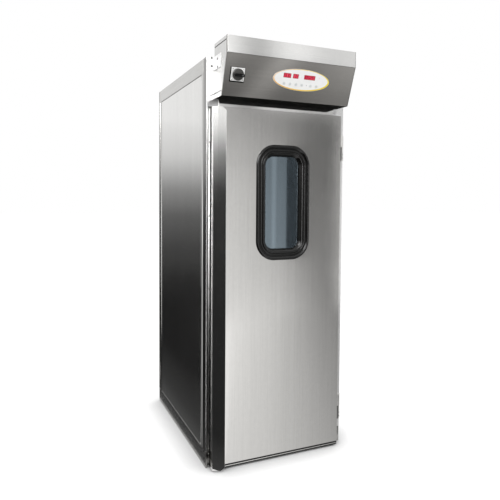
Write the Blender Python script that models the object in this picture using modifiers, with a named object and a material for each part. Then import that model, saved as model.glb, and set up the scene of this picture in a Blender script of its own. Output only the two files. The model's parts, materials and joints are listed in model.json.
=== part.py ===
"""Roll-in proofing cabinet, built as an assembly of separate pieces.

Units are metres, +Z is up and the front faces -Y. The origin is on the floor at the centre of the
cabinet's footprint. The door hangs on two lift-off hinges at the right, a control box is bolted
across the front above it, and an air unit hangs over the chamber's ceiling.
"""
import math

import bmesh
import bpy
from mathutils import Matrix, Vector

# Clearance between pieces that touch, and how far a cutter runs past the wall it cuts
GAP = 0.0003
CUT = 0.020
WELD = 0.00001

# Cabinet body
BODY_WIDTH = 0.810
BODY_DEPTH = 0.988
BODY_HEIGHT = 2.100
WALL = 0.064
REAR_WALL = 0.060
SHEET = 0.002
PLINTH_HEIGHT = 0.085
TOP_RAIL_HEIGHT = 0.075
FRONT_POST_DEPTH = 0.050
REAR_POST_DEPTH = 0.023
PANEL_BEVEL = 0.042
PANEL_RECESS = 0.003
REAR_RECESS = 0.006
FLOOR_SHEET = 0.004

# Doorway: the frame is stepped back so that the leaf sinks into it
HEADER_HEIGHT = 0.280
REBATE_DEPTH = 0.025
REBATE_LIFT = 0.033
LEFT_LIP = 0.009
RIGHT_LIP = 0.042

# Ceiling of the chamber, with its air slots
CEILING_LIFT = 0.046
CEILING_SHEET = 0.003
INLET_RADIUS = 0.085
SLOT_LENGTH = 0.070
SLOT_WIDTH = 0.012
SLOT_EDGE = 0.030
SLOTS_A_SIDE = 7
SLOT_RUN_SHARE = 0.80

# Air unit over the ceiling
MOTOR_RADIUS = 0.050
MOTOR_HEIGHT = 0.050
MOTOR_FLANGE_RADIUS = 0.070
MOTOR_FLANGE = 0.004
SHAFT_RADIUS = 0.006
SHAFT_INSET = 0.007
WHEEL_RADIUS = 0.100
WHEEL_HEIGHT = 0.065
WHEEL_SHEET = 0.002
WHEEL_LIFT = 0.012
WHEEL_EYE_RADIUS = 0.075
HUB_RADIUS = 0.016
HUB_HEIGHT = 0.040
BLADES = 12
BLADE_SINK = 0.001
BLADE_TILT_DEG = 35.0
HEATER_ROOM = 0.050
HEATER_TUBE = 0.005
HEATER_SPAN_DEG = 330.0
HEATER_STEPS = 28
BOILER_RADIUS = 0.070
BOILER_HEIGHT = 0.110
BOILER_SPOUT_RADIUS = 0.010
BOILER_SPOUT_HEIGHT = 0.022
BOILER_X_SHARE = 0.60
BOILER_Y_SHARE = 0.58
PROBE_RADIUS = 0.003
PROBE_LENGTH = 0.060
PROBE_COLLAR_RADIUS = 0.012
PROBE_COLLAR = 0.006
PROBE_X_SHARE = -0.60
PROBE_Y_SHARE = 0.50
LAMP_RADIUS = 0.055
LAMP_RIM = 0.010
LAMP_HEIGHT = 0.038
LAMP_FROM_FRONT = 0.090

# Control box across the front, over the door
BOX_LEFT_INSET = 0.041
BOX_RIGHT_INSET = 0.045
BOX_LIFT = 0.040
BOX_HEIGHT = 0.272
BOX_DEPTH = 0.179
BAND_HEIGHT = 0.081
BOX_FOOT_DEPTH = 0.108
FASCIA_SEAM = 0.0012
BRACKET_HEIGHT = 0.068
BRACKET_FRONT_LEG = 0.028
BRACKET_SIDE_LEG = 0.098

# Keypad: an oval plate with three displays and six buttons
KEYPAD_X_SHARE = 0.577
KEYPAD_DROP_SHARE = 0.461
KEYPAD_WIDTH = 0.322
KEYPAD_HEIGHT = 0.107
KEYPAD_THICK = 0.003
KEYPAD_STEPS = 48
KEYPAD_OPENING_SHARES = (0.764, 0.635)
DISPLAY_HEIGHT = 0.0215
DISPLAY_WIDTHS = (0.042, 0.031, 0.064)
DISPLAY_OFFSETS_SHARE = (-0.527, -0.229, 0.269)
DISPLAY_LIFT_SHARE = 0.31
DISPLAY_DEPTH = 0.005
BUTTON_RADIUS = 0.0060
BUTTON_PROUD = 0.0012
BUTTON_LENGTH = 0.0085
BUTTON_SHARES = (-0.602, -0.391, -0.180, 0.031, 0.348, 0.559)
BUTTON_DROP_SHARE = 0.45
BUTTON_SIDES = 20
BOARD_MARGIN = 0.014
BOARD_THICK = 0.002
BOARD_STANDOFF = 0.016
STANDOFF_RADIUS = 0.004

# Main switch on the fascia
SWITCH_FROM_LEFT = 0.0675
SWITCH_DROP_SHARE = 0.483
SWITCH_PLATE_WIDTH = 0.0700
SWITCH_PLATE_HEIGHT = 0.0640
SWITCH_PLATE_THICK = 0.002
SWITCH_BODY = 0.050
SWITCH_BODY_DEPTH = 0.042
KNOB_RADIUS = 0.0265
KNOB_HEIGHT = 0.012
KNOB_ROUND = 0.002
GRIP_WIDTH = 0.013
GRIP_HEIGHT = 0.018
SPINDLE_RADIUS = 0.005
SPINDLE_REACH = 0.024

# Contactor on the back of the control box, and the cable gland in its right end
CONTACTOR_WIDTH = 0.045
CONTACTOR_HEIGHT = 0.076
CONTACTOR_DEPTH = 0.052
CONTACTOR_STEP = 0.018
CONTACTOR_X_SHARE = 0.62
GLAND_RADIUS = 0.008
GLAND_FLANGE_RADIUS = 0.013
GLAND_FLANGE = 0.006
GLAND_NOSE = 0.010
GLAND_TAIL = 0.012
GLAND_LIFT = 0.067
GLAND_FROM_BACK = 0.055

# Door leaf
DOOR_PROUD = 0.050
DOOR_BACK_INSET = 0.012
DOOR_SIDE_GAP = 0.004
DOOR_TOP_GAP = 0.004
PULL_SIDE_GAP = 0.0097
DOOR_SKIN = 0.0015
SWEEP_CLEARANCE = 0.008
SWEEP_HEIGHT = 0.020
SWEEP_BLADE_HEIGHT = 0.009
SWEEP_BLADE = 0.008
SWEEP_CARRIER = 0.030
GASKET_WIDTH = 0.013
GASKET_INSET = 0.004
GASKET_LIFT = 0.002

# Full-height folded pull on the door's left edge
PULL_SHEET = 0.002
PULL_REAR = 0.022
PULL_CHAMFER = 0.020
PULL_FOLD_WIDTH = 0.0201
PULL_FOLD_PROUD = 0.012
PULL_WING_WIDTH = 0.0385
PULL_WING_PROUD = 0.016
PULL_TOP_DROP = 0.002

# Window in the door, set in a black rubber profile
WINDOW_X = 0.006
WINDOW_DROP = 0.478
WINDOW_WIDTH = 0.3135
WINDOW_HEIGHT = 0.604
WINDOW_RADIUS = 0.105
WINDOW_RING = 0.060
WINDOW_LAP = 0.020
WINDOW_REAR_LAP = 0.016
BEAD_HEIGHT = 0.009
REAR_FLANGE = 0.004
CORNER_STEPS = 7
PANE_THICK = 0.006
PANE_GROOVE = 0.008
OUTER_PANE_DEPTH = 0.020
INNER_PANE_DEPTH = 0.045
THROAT_DEPTH = 0.007
BEAD_SHARES = (
    (1.00, 0.45),
    (0.88, 0.90),
    (0.62, 0.95),
    (0.52, 0.55),
    (0.40, 0.95),
    (0.06, 1.00),
    (-0.05, 0.60),
    (-0.16, 0.92),
    (-0.48, 0.70),
)

# Lift-off hinges at the door's right edge
HINGE_AXIS_INSET = 0.028
KNUCKLE_RADIUS = 0.0165
HINGE_HEIGHT = 0.140
HINGE_SPLIT = 0.0775
LOWER_HINGE_LIFT = 0.1165
UPPER_HINGE_DROP = 0.244
PIN_RADIUS = 0.005
PIN_REACH = 0.040
ARM_THICK = 0.024

ROUND_SIDES = 24

# Planes and places that follow from the sizes above
LEFT = -BODY_WIDTH / 2
RIGHT = BODY_WIDTH / 2
FRONT = -BODY_DEPTH / 2
BACK = BODY_DEPTH / 2
CHAMBER_HALF = RIGHT - WALL
CHAMBER_FRONT = FRONT + FRONT_POST_DEPTH
CHAMBER_BACK = BACK - REAR_WALL
SEAT = FRONT + REBATE_DEPTH
OPENING_TOP = BODY_HEIGHT - HEADER_HEIGHT
REBATE_TOP = OPENING_TOP + REBATE_LIFT
RAIL_BOTTOM = BODY_HEIGHT - TOP_RAIL_HEIGHT
SIDE_BACK = BACK - REAR_POST_DEPTH - GAP
REAR_SKIN = BACK - REAR_RECESS - SHEET
CEILING_HEIGHT = OPENING_TOP + CEILING_LIFT
CEILING_TOP = CEILING_HEIGHT + CEILING_SHEET
CENTRE_Y = (CHAMBER_FRONT + CHAMBER_BACK) / 2
WHEEL_FOOT = CEILING_TOP + WHEEL_LIFT
SHAFT_END = WHEEL_FOOT + WHEEL_HEIGHT - HUB_HEIGHT + SHAFT_INSET

BOX_LEFT = LEFT + BOX_LEFT_INSET
BOX_RIGHT = RIGHT - BOX_RIGHT_INSET
BOX_WIDTH = BOX_RIGHT - BOX_LEFT
BOX_BOTTOM = REBATE_TOP + BOX_LIFT
BOX_TOP = BOX_BOTTOM + BOX_HEIGHT
BOX_BACK = FRONT - GAP
BOX_BEND = BOX_TOP - BAND_HEIGHT
FASCIA_RISE = BOX_BEND - BOX_BOTTOM
FASCIA_RUN = BOX_DEPTH - BOX_FOOT_DEPTH
FASCIA_LENGTH = math.hypot(FASCIA_RISE, FASCIA_RUN)
FASCIA_LEAN = math.atan2(FASCIA_RUN, FASCIA_RISE)
FASCIA_TURN = (math.pi / 2 + FASCIA_LEAN, 0.0, 0.0)
KEYPAD_DROP = FASCIA_LENGTH * KEYPAD_DROP_SHARE
SWITCH_DROP = FASCIA_LENGTH * SWITCH_DROP_SHARE

DOOR_LEFT = LEFT + LEFT_LIP + PULL_SIDE_GAP + PULL_SHEET + GAP
DOOR_RIGHT = RIGHT - RIGHT_LIP - DOOR_SIDE_GAP
DOOR_TOP = REBATE_TOP - DOOR_TOP_GAP
DOOR_BOTTOM = SWEEP_CLEARANCE + SWEEP_HEIGHT
DOOR_FRONT = FRONT - DOOR_PROUD
DOOR_BACK = FRONT + DOOR_BACK_INSET
DOOR_DEPTH = DOOR_BACK - DOOR_FRONT
WINDOW_Z = DOOR_TOP - WINDOW_DROP
HINGE_X = RIGHT - HINGE_AXIS_INSET
HINGE_Y = FRONT - KNUCKLE_RADIUS - GAP
HINGE_BOTTOMS = (DOOR_BOTTOM + LOWER_HINGE_LIFT, DOOR_TOP - UPPER_HINGE_DROP)

# Finishes: colour, roughness, metallic
STEEL = ((0.62, 0.62, 0.60), 0.32, 1.0)
BRIGHT_STEEL = ((0.75, 0.75, 0.74), 0.20, 1.0)
GALVANISED = ((0.55, 0.56, 0.57), 0.50, 1.0)
FOAM = ((0.80, 0.72, 0.50), 0.95, 0.0)
RUBBER = ((0.035, 0.035, 0.037), 0.60, 0.0)
GLASS = ((0.45, 0.52, 0.56), 0.05, 0.0)
BLACK_PLASTIC = ((0.02, 0.02, 0.02), 0.35, 0.0)
WHITE_PLASTIC = ((0.86, 0.86, 0.84), 0.40, 0.0)
PALE_PLASTIC = ((0.74, 0.76, 0.74), 0.45, 0.0)
RED_LENS = ((0.62, 0.02, 0.05), 0.20, 0.0)
BOARD_GREEN = ((0.05, 0.22, 0.10), 0.55, 0.0)
GREY_PLASTIC = ((0.25, 0.25, 0.26), 0.50, 0.0)


def dress(piece, finish):
    """Give a piece its own Principled material."""
    colour, roughness, metallic = finish
    material = bpy.data.materials.new(piece.name + "_finish")
    material.use_nodes = True
    shader = material.node_tree.nodes["Principled BSDF"]
    shader.inputs["Base Color"].default_value = (*colour, 1.0)
    shader.inputs["Roughness"].default_value = roughness
    shader.inputs["Metallic"].default_value = metallic
    material.diffuse_color = (*colour, 1.0)
    piece.data.materials.append(material)


def put(name, mesh, place, finish):
    """Make an object of a mesh: a part with a finish, or a cutter without one."""
    piece = bpy.data.objects.new(name, mesh)
    piece.location = place
    if finish is None:
        CUTTERS.objects.link(piece)
        piece.hide_render = True
        piece.display_type = "WIRE"
    else:
        PARTS.objects.link(piece)
        dress(piece, finish)
    return piece


def block(name, low, high, finish=None):
    """A box between two corners, with its origin at its centre."""
    low = Vector(low)
    high = Vector(high)
    size = high - low
    mesh = bpy.data.meshes.new(name)
    shape = bmesh.new()
    bmesh.ops.create_cube(shape, size=1.0, matrix=Matrix.Diagonal((*size, 1.0)))
    shape.to_mesh(mesh)
    shape.free()
    return put(name, mesh, (low + high) / 2, finish)


def drum(name, radius, length, place, finish=None, sides=ROUND_SIDES):
    """A cylinder along its own Z, centred on its origin."""
    mesh = bpy.data.meshes.new(name)
    shape = bmesh.new()
    bmesh.ops.create_cone(
        shape, cap_ends=True, segments=sides, radius1=radius, radius2=radius, depth=length
    )
    shape.to_mesh(mesh)
    shape.free()
    soften(mesh)
    return put(name, mesh, place, finish)


def soften(mesh):
    """Shade a round mesh smooth, and keep its edges sharp."""
    mesh.shade_smooth()
    mesh.set_sharp_from_angle(angle=math.radians(35.0))


def turned(name, outline, place, finish=None, sides=ROUND_SIDES):
    """A solid of revolution about its own Z, from (radius, height) points, top to bottom."""
    mesh = bpy.data.meshes.new(name)
    points = [(radius, 0.0, height) for radius, height in outline]
    mesh.from_pydata(points, [(i, i + 1) for i in range(len(points) - 1)], [])
    piece = put(name, mesh, place, finish)
    screw = piece.modifiers.new("turn", "SCREW")
    screw.axis = "Z"
    screw.steps = sides
    screw.render_steps = sides
    screw.use_merge_vertices = True
    screw.merge_threshold = WELD
    screw.use_smooth_shade = False
    return piece


def slab(name, outlines, thickness, place, turn=(0.0, 0.0, 0.0), finish=None):
    """A flat plate of one or more closed outlines, drawn in its own XY and centred on its Z."""
    curve = bpy.data.curves.new(name, "CURVE")
    curve.dimensions = "2D"
    curve.fill_mode = "BOTH"
    curve.extrude = thickness / 2
    for outline in outlines:
        spline = curve.splines.new("POLY")
        spline.points.add(len(outline) - 1)
        for point, (x, y) in zip(spline.points, outline):
            point.co = (x, y, 0.0, 1.0)
        spline.use_cyclic_u = True
    piece = put(name, welded(name, curve), place, finish)
    piece.rotation_euler = turn
    return piece


def welded(name, curve):
    """Turn a curve into a closed mesh, with its caps joined on."""
    source = bpy.data.objects.new(name + "_curve", curve)
    bpy.context.scene.collection.objects.link(source)
    view = bpy.context.evaluated_depsgraph_get()
    mesh = bpy.data.meshes.new_from_object(source.evaluated_get(view), depsgraph=view)
    mesh.name = name
    bpy.data.objects.remove(source)
    bpy.data.curves.remove(curve)
    shape = bmesh.new()
    shape.from_mesh(mesh)
    bmesh.ops.remove_doubles(shape, verts=shape.verts, dist=WELD)
    bmesh.ops.recalc_face_normals(shape, faces=shape.faces)
    shape.to_mesh(mesh)
    shape.free()
    return mesh


def folded(name, path, along, low, high, sheet, finish):
    """A folded sheet: its middle line, drawn across one axis, runs along that axis."""
    mesh = bpy.data.meshes.new(name)
    shape = bmesh.new()

    def corner(point, reach):
        if along == "X":
            return (reach, point[0], point[1])
        return (point[0], point[1], reach)

    start = [shape.verts.new(corner(point, low)) for point in path]
    edges = [shape.edges.new(pair) for pair in zip(start, start[1:])]
    grown = bmesh.ops.extrude_edge_only(shape, edges=edges)["geom"]
    moved = [item for item in grown if isinstance(item, bmesh.types.BMVert)]
    shift = Vector(corner((0.0, 0.0), high - low))
    bmesh.ops.translate(shape, verts=moved, vec=shift)
    shape.to_mesh(mesh)
    shape.free()
    piece = put(name, mesh, (0.0, 0.0, 0.0), finish)
    wall = piece.modifiers.new("wall", "SOLIDIFY")
    wall.thickness = sheet
    wall.offset = 0.0
    wall.use_even_offset = True
    return piece


def boolean(piece, tool, operation):
    """Cut a piece with a tool, or join the tool to it."""
    step = piece.modifiers.new(tool.name, "BOOLEAN")
    step.operation = operation
    step.solver = "EXACT"
    step.object = tool


def cut(piece, *tools):
    """Take each tool out of a piece."""
    for tool in tools:
        boolean(piece, tool, "DIFFERENCE")


def join(piece, *tools):
    """Join each tool to a piece, so that they are one body."""
    for tool in tools:
        boolean(piece, tool, "UNION")


def hang(piece, pivot):
    """Parent a piece to a pivot without moving it."""
    piece.parent = pivot
    piece.matrix_parent_inverse = Matrix.Translation(pivot.location).inverted()


def ellipse(width, height, steps):
    """Points around an oval."""
    turns = [2 * math.pi * i / steps for i in range(steps)]
    return [(math.cos(a) * width / 2, math.sin(a) * height / 2) for a in turns]


def oblong(width, height, radius=0.0, steps=CORNER_STEPS):
    """Points around a rectangle with round corners."""
    across = width / 2 - radius
    up = height / 2 - radius
    if radius == 0:
        return [(across, up), (-across, up), (-across, -up), (across, -up)]
    corners = ((across, up, 0), (-across, up, 1), (-across, -up, 2), (across, -up, 3))
    points = []
    for x, y, quarter in corners:
        for i in range(steps + 1):
            angle = math.pi / 2 * (quarter + i / steps)
            points.append((x + radius * math.cos(angle), y + radius * math.sin(angle)))
    return points


def on_fascia(x, drop, out):
    """A point by its place across the fascia, its drop down the slope and its height off it."""
    down = Vector((0.0, math.sin(FASCIA_LEAN), -math.cos(FASCIA_LEAN)))
    off = Vector((0.0, -math.cos(FASCIA_LEAN), -math.sin(FASCIA_LEAN)))
    return Vector((x, FRONT - BOX_DEPTH, BOX_BEND)) + down * drop + off * out


def fascia_slab(name, outline, low, high, x, drop, finish=None):
    """A plate that lies on the fascia's slope, between two heights off it."""
    place = on_fascia(x, drop, (low + high) / 2)
    return slab(name, [outline], high - low, place, FASCIA_TURN, finish)


def build_frame():
    """Posts, rails, plinths and header, all stepped back at the doorway."""
    doorway = block(
        "doorway_cutter",
        (LEFT + LEFT_LIP, FRONT - CUT, -CUT),
        (RIGHT - RIGHT_LIP, SEAT, REBATE_TOP),
    )
    for side, outer, inner in (("left", LEFT, -CHAMBER_HALF), ("right", RIGHT, CHAMBER_HALF)):
        near = min(outer, inner)
        far = max(outer, inner)
        foot = PLINTH_HEIGHT + GAP
        plinth = block(f"plinth_{side}", (near, FRONT, 0.0), (far, BACK, PLINTH_HEIGHT), STEEL)
        post = block(
            f"front_post_{side}", (near, FRONT, foot), (far, CHAMBER_FRONT, BODY_HEIGHT), STEEL
        )
        cut(plinth, doorway)
        cut(post, doorway)
        block(
            f"rear_post_{side}",
            (near, BACK - REAR_POST_DEPTH, foot),
            (far, BACK, BODY_HEIGHT),
            STEEL,
        )
        block(
            f"top_rail_{side}",
            (near, CHAMBER_FRONT + GAP, RAIL_BOTTOM),
            (far, SIDE_BACK, BODY_HEIGHT),
            STEEL,
        )
    header = block(
        "front_header",
        (-CHAMBER_HALF + GAP, FRONT, OPENING_TOP),
        (CHAMBER_HALF - GAP, CHAMBER_FRONT, BODY_HEIGHT),
        STEEL,
    )
    cut(header, doorway)


def build_walls():
    """Outer panels, chamber liner and the foam between them."""
    low = PLINTH_HEIGHT + GAP
    high = RAIL_BOTTOM - GAP
    front = CHAMBER_FRONT + GAP
    for side, sign in (("left", -1), ("right", 1)):
        edge = sign * (RIGHT - SHEET / 2)
        field = sign * (RIGHT - SHEET / 2 - PANEL_RECESS)
        path = [
            (edge, front),
            (field, front + PANEL_BEVEL),
            (field, SIDE_BACK - PANEL_BEVEL),
            (edge, SIDE_BACK),
        ]
        folded(f"side_panel_{side}", path, "Z", low, high, SHEET, STEEL)
    inner = CHAMBER_HALF - GAP
    block(
        "rear_panel", (-inner, REAR_SKIN, 0.0), (inner, BACK - REAR_RECESS, BODY_HEIGHT), STEEL
    )
    liner = CHAMBER_HALF + SHEET / 2
    deep = CHAMBER_BACK + SHEET / 2
    path = [(-liner, front), (-liner, deep), (liner, deep), (liner, front)]
    folded("chamber_liner", path, "Z", low, high, SHEET, BRIGHT_STEEL)
    far = RIGHT - PANEL_RECESS - SHEET - GAP
    near = CHAMBER_HALF + SHEET + GAP
    back = CHAMBER_BACK + SHEET + GAP
    rear = REAR_SKIN - GAP
    outline = [
        (-far, front),
        (-near, front),
        (-near, back),
        (near, back),
        (near, front),
        (far, front),
        (far, SIDE_BACK),
        (inner, SIDE_BACK),
        (inner, rear),
        (-inner, rear),
        (-inner, SIDE_BACK),
        (-far, SIDE_BACK),
    ]
    place = (0.0, 0.0, (low + high) / 2)
    slab("wall_insulation", [outline], high - low, place, finish=FOAM)


def build_roof_and_floor():
    """Roof sandwich, floor plate and the chamber's ceiling with its air slots."""
    inner = CHAMBER_HALF - GAP
    front = CHAMBER_FRONT + GAP
    rear = REAR_SKIN - GAP
    skin = BODY_HEIGHT - SHEET
    lining = RAIL_BOTTOM + SHEET
    block("roof_panel", (-inner, front, skin), (inner, rear, BODY_HEIGHT), STEEL)
    block("roof_insulation", (-inner, front, lining + GAP), (inner, rear, skin - GAP), FOAM)
    block("roof_liner", (-inner, front, RAIL_BOTTOM), (inner, rear, lining), BRIGHT_STEEL)
    middle = FLOOR_SHEET / 2
    path = [
        (SEAT, middle),
        (CHAMBER_BACK + middle, middle),
        (CHAMBER_BACK + middle, PLINTH_HEIGHT),
    ]
    folded("floor_plate", path, "X", -inner, inner, FLOOR_SHEET, BRIGHT_STEEL)
    ceiling = block(
        "ceiling_panel",
        (-inner, front, CEILING_HEIGHT),
        (inner, CHAMBER_BACK - GAP, CEILING_TOP),
        BRIGHT_STEEL,
    )
    middle_height = (CEILING_HEIGHT + CEILING_TOP) / 2
    inlet = drum(
        "inlet_cutter",
        INLET_RADIUS,
        CEILING_SHEET + 2 * CUT,
        (0.0, CENTRE_Y, middle_height),
    )
    cut(ceiling, inlet)
    run = (CHAMBER_BACK - CHAMBER_FRONT) * SLOT_RUN_SHARE
    pitch = run / SLOTS_A_SIDE
    for side, sign in (("left", -1), ("right", 1)):
        x = sign * (CHAMBER_HALF - SLOT_EDGE)
        for i in range(SLOTS_A_SIDE):
            y = CENTRE_Y + (i - (SLOTS_A_SIDE - 1) / 2) * pitch
            slot = block(
                f"slot_cutter_{side}_{i + 1}",
                (x - SLOT_WIDTH / 2, y - SLOT_LENGTH / 2, CEILING_HEIGHT - CUT),
                (x + SLOT_WIDTH / 2, y + SLOT_LENGTH / 2, CEILING_TOP + CUT),
            )
            cut(ceiling, slot)


def build_air_unit():
    """Fan, heater, boiler, probe and lamp around the chamber's ceiling."""
    hook = RAIL_BOTTOM - GAP
    turned(
        "fan_motor",
        [
            (0.0, 0.0),
            (MOTOR_FLANGE_RADIUS, 0.0),
            (MOTOR_FLANGE_RADIUS, -MOTOR_FLANGE),
            (MOTOR_RADIUS, -MOTOR_FLANGE),
            (MOTOR_RADIUS, -MOTOR_FLANGE - MOTOR_HEIGHT),
            (SHAFT_RADIUS, -MOTOR_FLANGE - MOTOR_HEIGHT),
            (SHAFT_RADIUS, SHAFT_END - hook),
            (0.0, SHAFT_END - hook),
        ],
        (0.0, CENTRE_Y, hook),
        GREY_PLASTIC,
    )
    build_fan_wheel()
    build_heater(hook)
    turned(
        "steam_boiler",
        [
            (0.0, BOILER_HEIGHT + BOILER_SPOUT_HEIGHT),
            (BOILER_SPOUT_RADIUS, BOILER_HEIGHT + BOILER_SPOUT_HEIGHT),
            (BOILER_SPOUT_RADIUS, BOILER_HEIGHT),
            (BOILER_RADIUS - BOILER_SPOUT_RADIUS, BOILER_HEIGHT),
            (BOILER_RADIUS, BOILER_HEIGHT - BOILER_SPOUT_RADIUS),
            (BOILER_RADIUS, 0.0),
            (0.0, 0.0),
        ],
        (
            CHAMBER_HALF * BOILER_X_SHARE,
            CENTRE_Y + (CHAMBER_BACK - CENTRE_Y) * BOILER_Y_SHARE,
            CEILING_TOP + GAP,
        ),
        BRIGHT_STEEL,
    )
    turned(
        "temperature_probe",
        [
            (0.0, 0.0),
            (PROBE_COLLAR_RADIUS, 0.0),
            (PROBE_COLLAR_RADIUS, -PROBE_COLLAR),
            (PROBE_RADIUS, -PROBE_COLLAR),
            (PROBE_RADIUS, -PROBE_COLLAR - PROBE_LENGTH),
            (0.0, -PROBE_COLLAR - PROBE_LENGTH),
        ],
        (
            CHAMBER_HALF * PROBE_X_SHARE,
            CENTRE_Y + (CHAMBER_BACK - CENTRE_Y) * PROBE_Y_SHARE,
            CEILING_HEIGHT - GAP,
        ),
        BRIGHT_STEEL,
        sides=16,
    )
    turned(
        "chamber_lamp",
        [
            (0.0, 0.0),
            (LAMP_RADIUS, 0.0),
            (LAMP_RADIUS, -LAMP_RIM),
            (LAMP_RADIUS - LAMP_RIM, -LAMP_HEIGHT + LAMP_RIM),
            (LAMP_RADIUS - 2 * LAMP_RIM, -LAMP_HEIGHT),
            (0.0, -LAMP_HEIGHT),
        ],
        (0.0, CHAMBER_FRONT + LAMP_FROM_FRONT, CEILING_HEIGHT - GAP),
        WHITE_PLASTIC,
    )


def build_fan_wheel():
    """Radial wheel: a back plate with a hub, a ring of blades and an eye ring below them."""
    bore = SHAFT_RADIUS + GAP
    wheel = turned(
        "fan_wheel",
        [
            (bore, WHEEL_HEIGHT),
            (WHEEL_RADIUS, WHEEL_HEIGHT),
            (WHEEL_RADIUS, WHEEL_HEIGHT - WHEEL_SHEET),
            (HUB_RADIUS, WHEEL_HEIGHT - WHEEL_SHEET),
            (HUB_RADIUS, WHEEL_HEIGHT - HUB_HEIGHT),
            (bore, WHEEL_HEIGHT - HUB_HEIGHT),
            (bore, WHEEL_HEIGHT),
        ],
        (0.0, CENTRE_Y, WHEEL_FOOT),
        GALVANISED,
    )
    eye = turned(
        "fan_eye_tool",
        [
            (WHEEL_EYE_RADIUS, WHEEL_SHEET),
            (WHEEL_RADIUS, WHEEL_SHEET),
            (WHEEL_RADIUS, 0.0),
            (WHEEL_EYE_RADIUS, 0.0),
            (WHEEL_EYE_RADIUS, WHEEL_SHEET),
        ],
        (0.0, CENTRE_Y, WHEEL_FOOT),
    )
    mesh = bpy.data.meshes.new("fan_blades_tool")
    shape = bmesh.new()
    length = WHEEL_RADIUS - WHEEL_EYE_RADIUS
    height = WHEEL_HEIGHT - 2 * WHEEL_SHEET + 2 * BLADE_SINK
    size = Matrix.Diagonal((length, WHEEL_SHEET, height, 1.0))
    tilt = Matrix.Rotation(math.radians(BLADE_TILT_DEG), 4, "Z")
    out = Matrix.Translation(((WHEEL_RADIUS + WHEEL_EYE_RADIUS) / 2, 0.0, WHEEL_HEIGHT / 2))
    for i in range(BLADES):
        turn = Matrix.Rotation(2 * math.pi * i / BLADES, 4, "Z")
        bmesh.ops.create_cube(shape, size=1.0, matrix=turn @ out @ tilt @ size)
    shape.to_mesh(mesh)
    shape.free()
    blades = put("fan_blades_tool", mesh, (0.0, CENTRE_Y, WHEEL_FOOT), None)
    join(wheel, blades, eye)


def build_heater(hook):
    """Tubular heater: an open ring round the fan, with two legs up to the roof liner."""
    curve = bpy.data.curves.new("heater_element", "CURVE")
    curve.dimensions = "3D"
    curve.bevel_depth = HEATER_TUBE
    curve.bevel_resolution = 1
    curve.use_fill_caps = True
    span = math.radians(HEATER_SPAN_DEG)
    turns = [span * i / HEATER_STEPS for i in range(HEATER_STEPS + 1)]
    radius = WHEEL_RADIUS + HEATER_ROOM
    height = WHEEL_FOOT + WHEEL_HEIGHT / 2 - hook
    ring = [(radius * math.cos(a), radius * math.sin(a), height) for a in turns]
    first = (ring[0][0], ring[0][1], 0.0)
    last = (ring[-1][0], ring[-1][1], 0.0)
    path = [first, *ring, last]
    spline = curve.splines.new("POLY")
    spline.points.add(len(path) - 1)
    for point, place in zip(spline.points, path):
        point.co = (*place, 1.0)
    mesh = welded("heater_element", curve)
    put("heater_element", mesh, (0.0, CENTRE_Y, hook), BRIGHT_STEEL)


def build_control_box():
    """Folded shell, sloping fascia, two ends and the brackets that hold the box."""
    half = SHEET / 2
    slot = SHEET / math.cos(FASCIA_LEAN) + 2 * GAP
    path = [
        (FRONT - BOX_FOOT_DEPTH + slot, BOX_BOTTOM + half),
        (BOX_BACK - half, BOX_BOTTOM + half),
        (BOX_BACK - half, BOX_TOP - half),
        (FRONT - BOX_DEPTH + half, BOX_TOP - half),
        (FRONT - BOX_DEPTH + half, BOX_BEND),
    ]
    inner_left = BOX_LEFT + SHEET + GAP
    inner_right = BOX_RIGHT - SHEET - GAP
    folded("control_box_shell", path, "X", inner_left, inner_right, SHEET, STEEL)
    build_fascia(inner_left, inner_right)
    profile = [
        (BOX_BACK, BOX_BOTTOM),
        (BOX_BACK, BOX_TOP),
        (FRONT - BOX_DEPTH, BOX_TOP),
        (FRONT - BOX_DEPTH, BOX_BEND),
        (FRONT - BOX_FOOT_DEPTH, BOX_BOTTOM),
    ]
    across = (math.pi / 2, 0.0, math.pi / 2)
    for side, x in (("left", BOX_LEFT + half), ("right", BOX_RIGHT - half)):
        end = slab(
            f"control_box_end_{side}", [profile], SHEET, (x, 0.0, 0.0), across, STEEL
        )
        if side == "right":
            build_gland(end)
    build_brackets()


def build_fascia(left, right):
    """Sloping front plate, with the openings behind the keypad and the main switch."""
    low = FASCIA_SEAM
    middle = (left + right) / 2
    outline = oblong(right - left, FASCIA_LENGTH - low)
    drop = (FASCIA_LENGTH + low) / 2
    fascia = fascia_slab("control_fascia", outline, -SHEET, 0.0, middle, drop, STEEL)
    keypad_x = BOX_LEFT + BOX_WIDTH * KEYPAD_X_SHARE
    width = KEYPAD_WIDTH * KEYPAD_OPENING_SHARES[0]
    height = KEYPAD_HEIGHT * KEYPAD_OPENING_SHARES[1]
    opening = fascia_slab(
        "keypad_opening_cutter",
        oblong(width, height),
        -SHEET - CUT,
        CUT,
        keypad_x,
        KEYPAD_DROP,
    )
    cut(fascia, opening)
    build_keypad(keypad_x)
    build_board(keypad_x, width / 2, height / 2)
    build_switch(fascia, BOX_LEFT + SWITCH_FROM_LEFT)


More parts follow.
